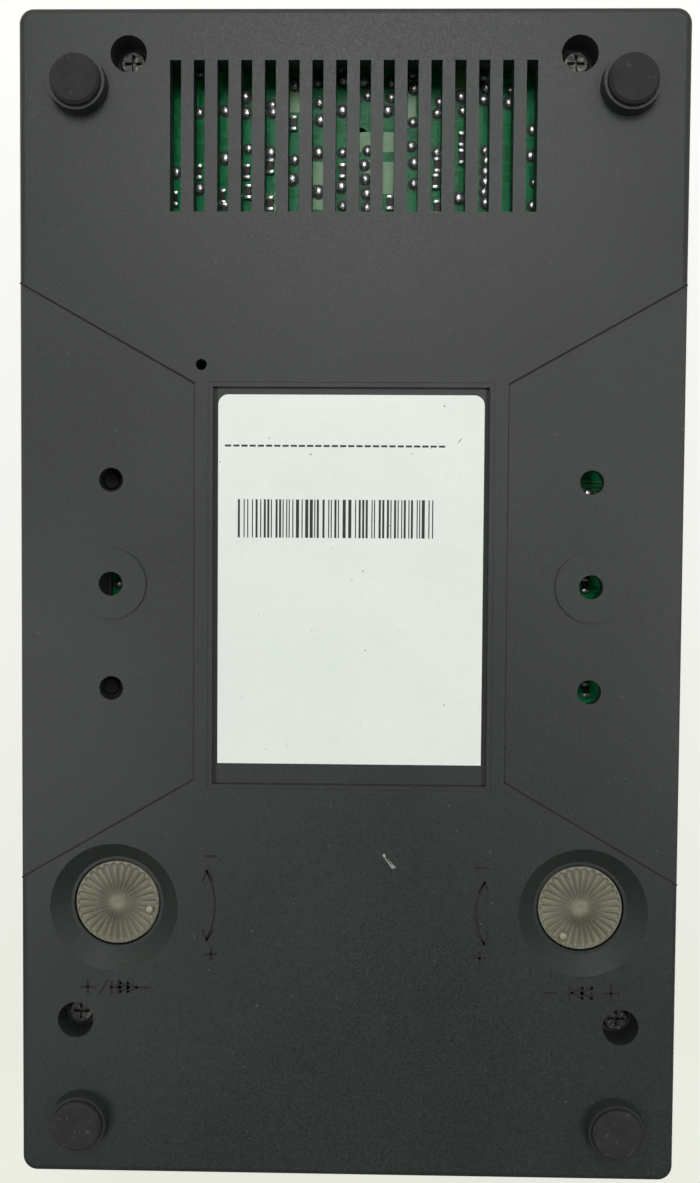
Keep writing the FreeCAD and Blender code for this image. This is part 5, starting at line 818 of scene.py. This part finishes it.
def make_slider_scales():
    """A row of ticks behind each slider's channel, longer at the middle and the ends."""
    slider_x, slider_y = 30.0, -50.0
    tick_pitch, tick_foot, half_wide = 3.0, 7.2, 0.2
    shape = bmesh.new()
    for side in (-1, 1):
        for tick in range(-4, 5):
            long = 2.6 if tick in (-4, 0, 4) else 1.6
            x = side * slider_x + tick * tick_pitch
            add_flat(shape, (x - half_wide, tick_foot), (x + half_wide, tick_foot + long), PRINT_HALF)
    lay_on(shape, slider_y, TOP_REAR - (CASE_LONG / 2 - slider_y) * TOP_SLOPE, TOP_SLOPE)
    new_piece("slider_scales", shape, PRINT)


def make_display_face():
    """Four resting digits of seven segments on the display's face."""
    low, high = (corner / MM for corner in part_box("display_module"))
    shape = bmesh.new()
    wide, tall, bar, pitch = 4.2, 8.6, 0.8, 6.6
    bottom = (low.y + high.y) / 2 - tall / 2
    for digit in range(4):
        x = low.x + 6.0 + pitch * digit
        for row in range(3):
            y = bottom + row * tall / 2
            add_flat(shape, (x + bar * 0.7, y - bar / 2), (x + wide - bar * 0.7, y + bar / 2), SEGMENT_HALF)
        for side in (x, x + wide):
            for row in range(2):
                foot = bottom + row * tall / 2 + bar * 0.6
                top = foot + tall / 2 - bar * 1.2
                add_flat(shape, (side - bar / 2, foot), (side + bar / 2, top), SEGMENT_HALF)
    lay_on(shape, 0, high.z, 0)
    new_piece("display_digits", shape, SEGMENT)


# Rear sockets
def make_socket_contacts():
    """Gilt contacts in the roof of the foot-control socket and a plated ring round the headphone bore."""
    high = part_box("foot_control_socket")[1] / MM
    contacts, pitch, half = 6, 1.4, 0.3
    shape = bmesh.new()
    for contact in range(contacts):
        x = pitch * (contact - (contacts - 1) / 2)
        add_block(shape, (x - half, high.y - 9.0, high.z - 2.6), (x + half, high.y - 2.0, high.z - 1.9), 0.05)
    new_piece("foot_socket_contacts", shape, BRASS)
    low, high = (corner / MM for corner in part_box("headphone_socket"))
    bore, lip, rim = 1.85, 2.1, 3.1
    ring = turned([(bore, 0.2), (bore, -3.0), (lip, -3.0), (lip, -0.02), (rim, -0.02), (rim, 0.12),
                   (rim - 0.1, 0.2), (bore, 0.2)], steps=40)
    shape = bmesh.new()
    stamp(shape, ring, ((low.x + high.x) / 2, high.y, (low.z + high.z) / 2), axis=(0, 1, 0))
    new_piece("headphone_ring", shape, PLATED)


make_camera()
dress_nodes()
make_stage()
make_trimmer_marks()
make_step_painted_shade()
make_scuffs()
make_label_print()
for knob_name in PIP_TURNS:
    make_fine_knob(knob_name)
make_solder_side()
make_copper()
make_trimmer_backs()
make_key_symbols()
make_slider_scales()
make_display_face()
make_socket_contacts()

bpy.context.scene.view_settings.view_transform = "Standard"
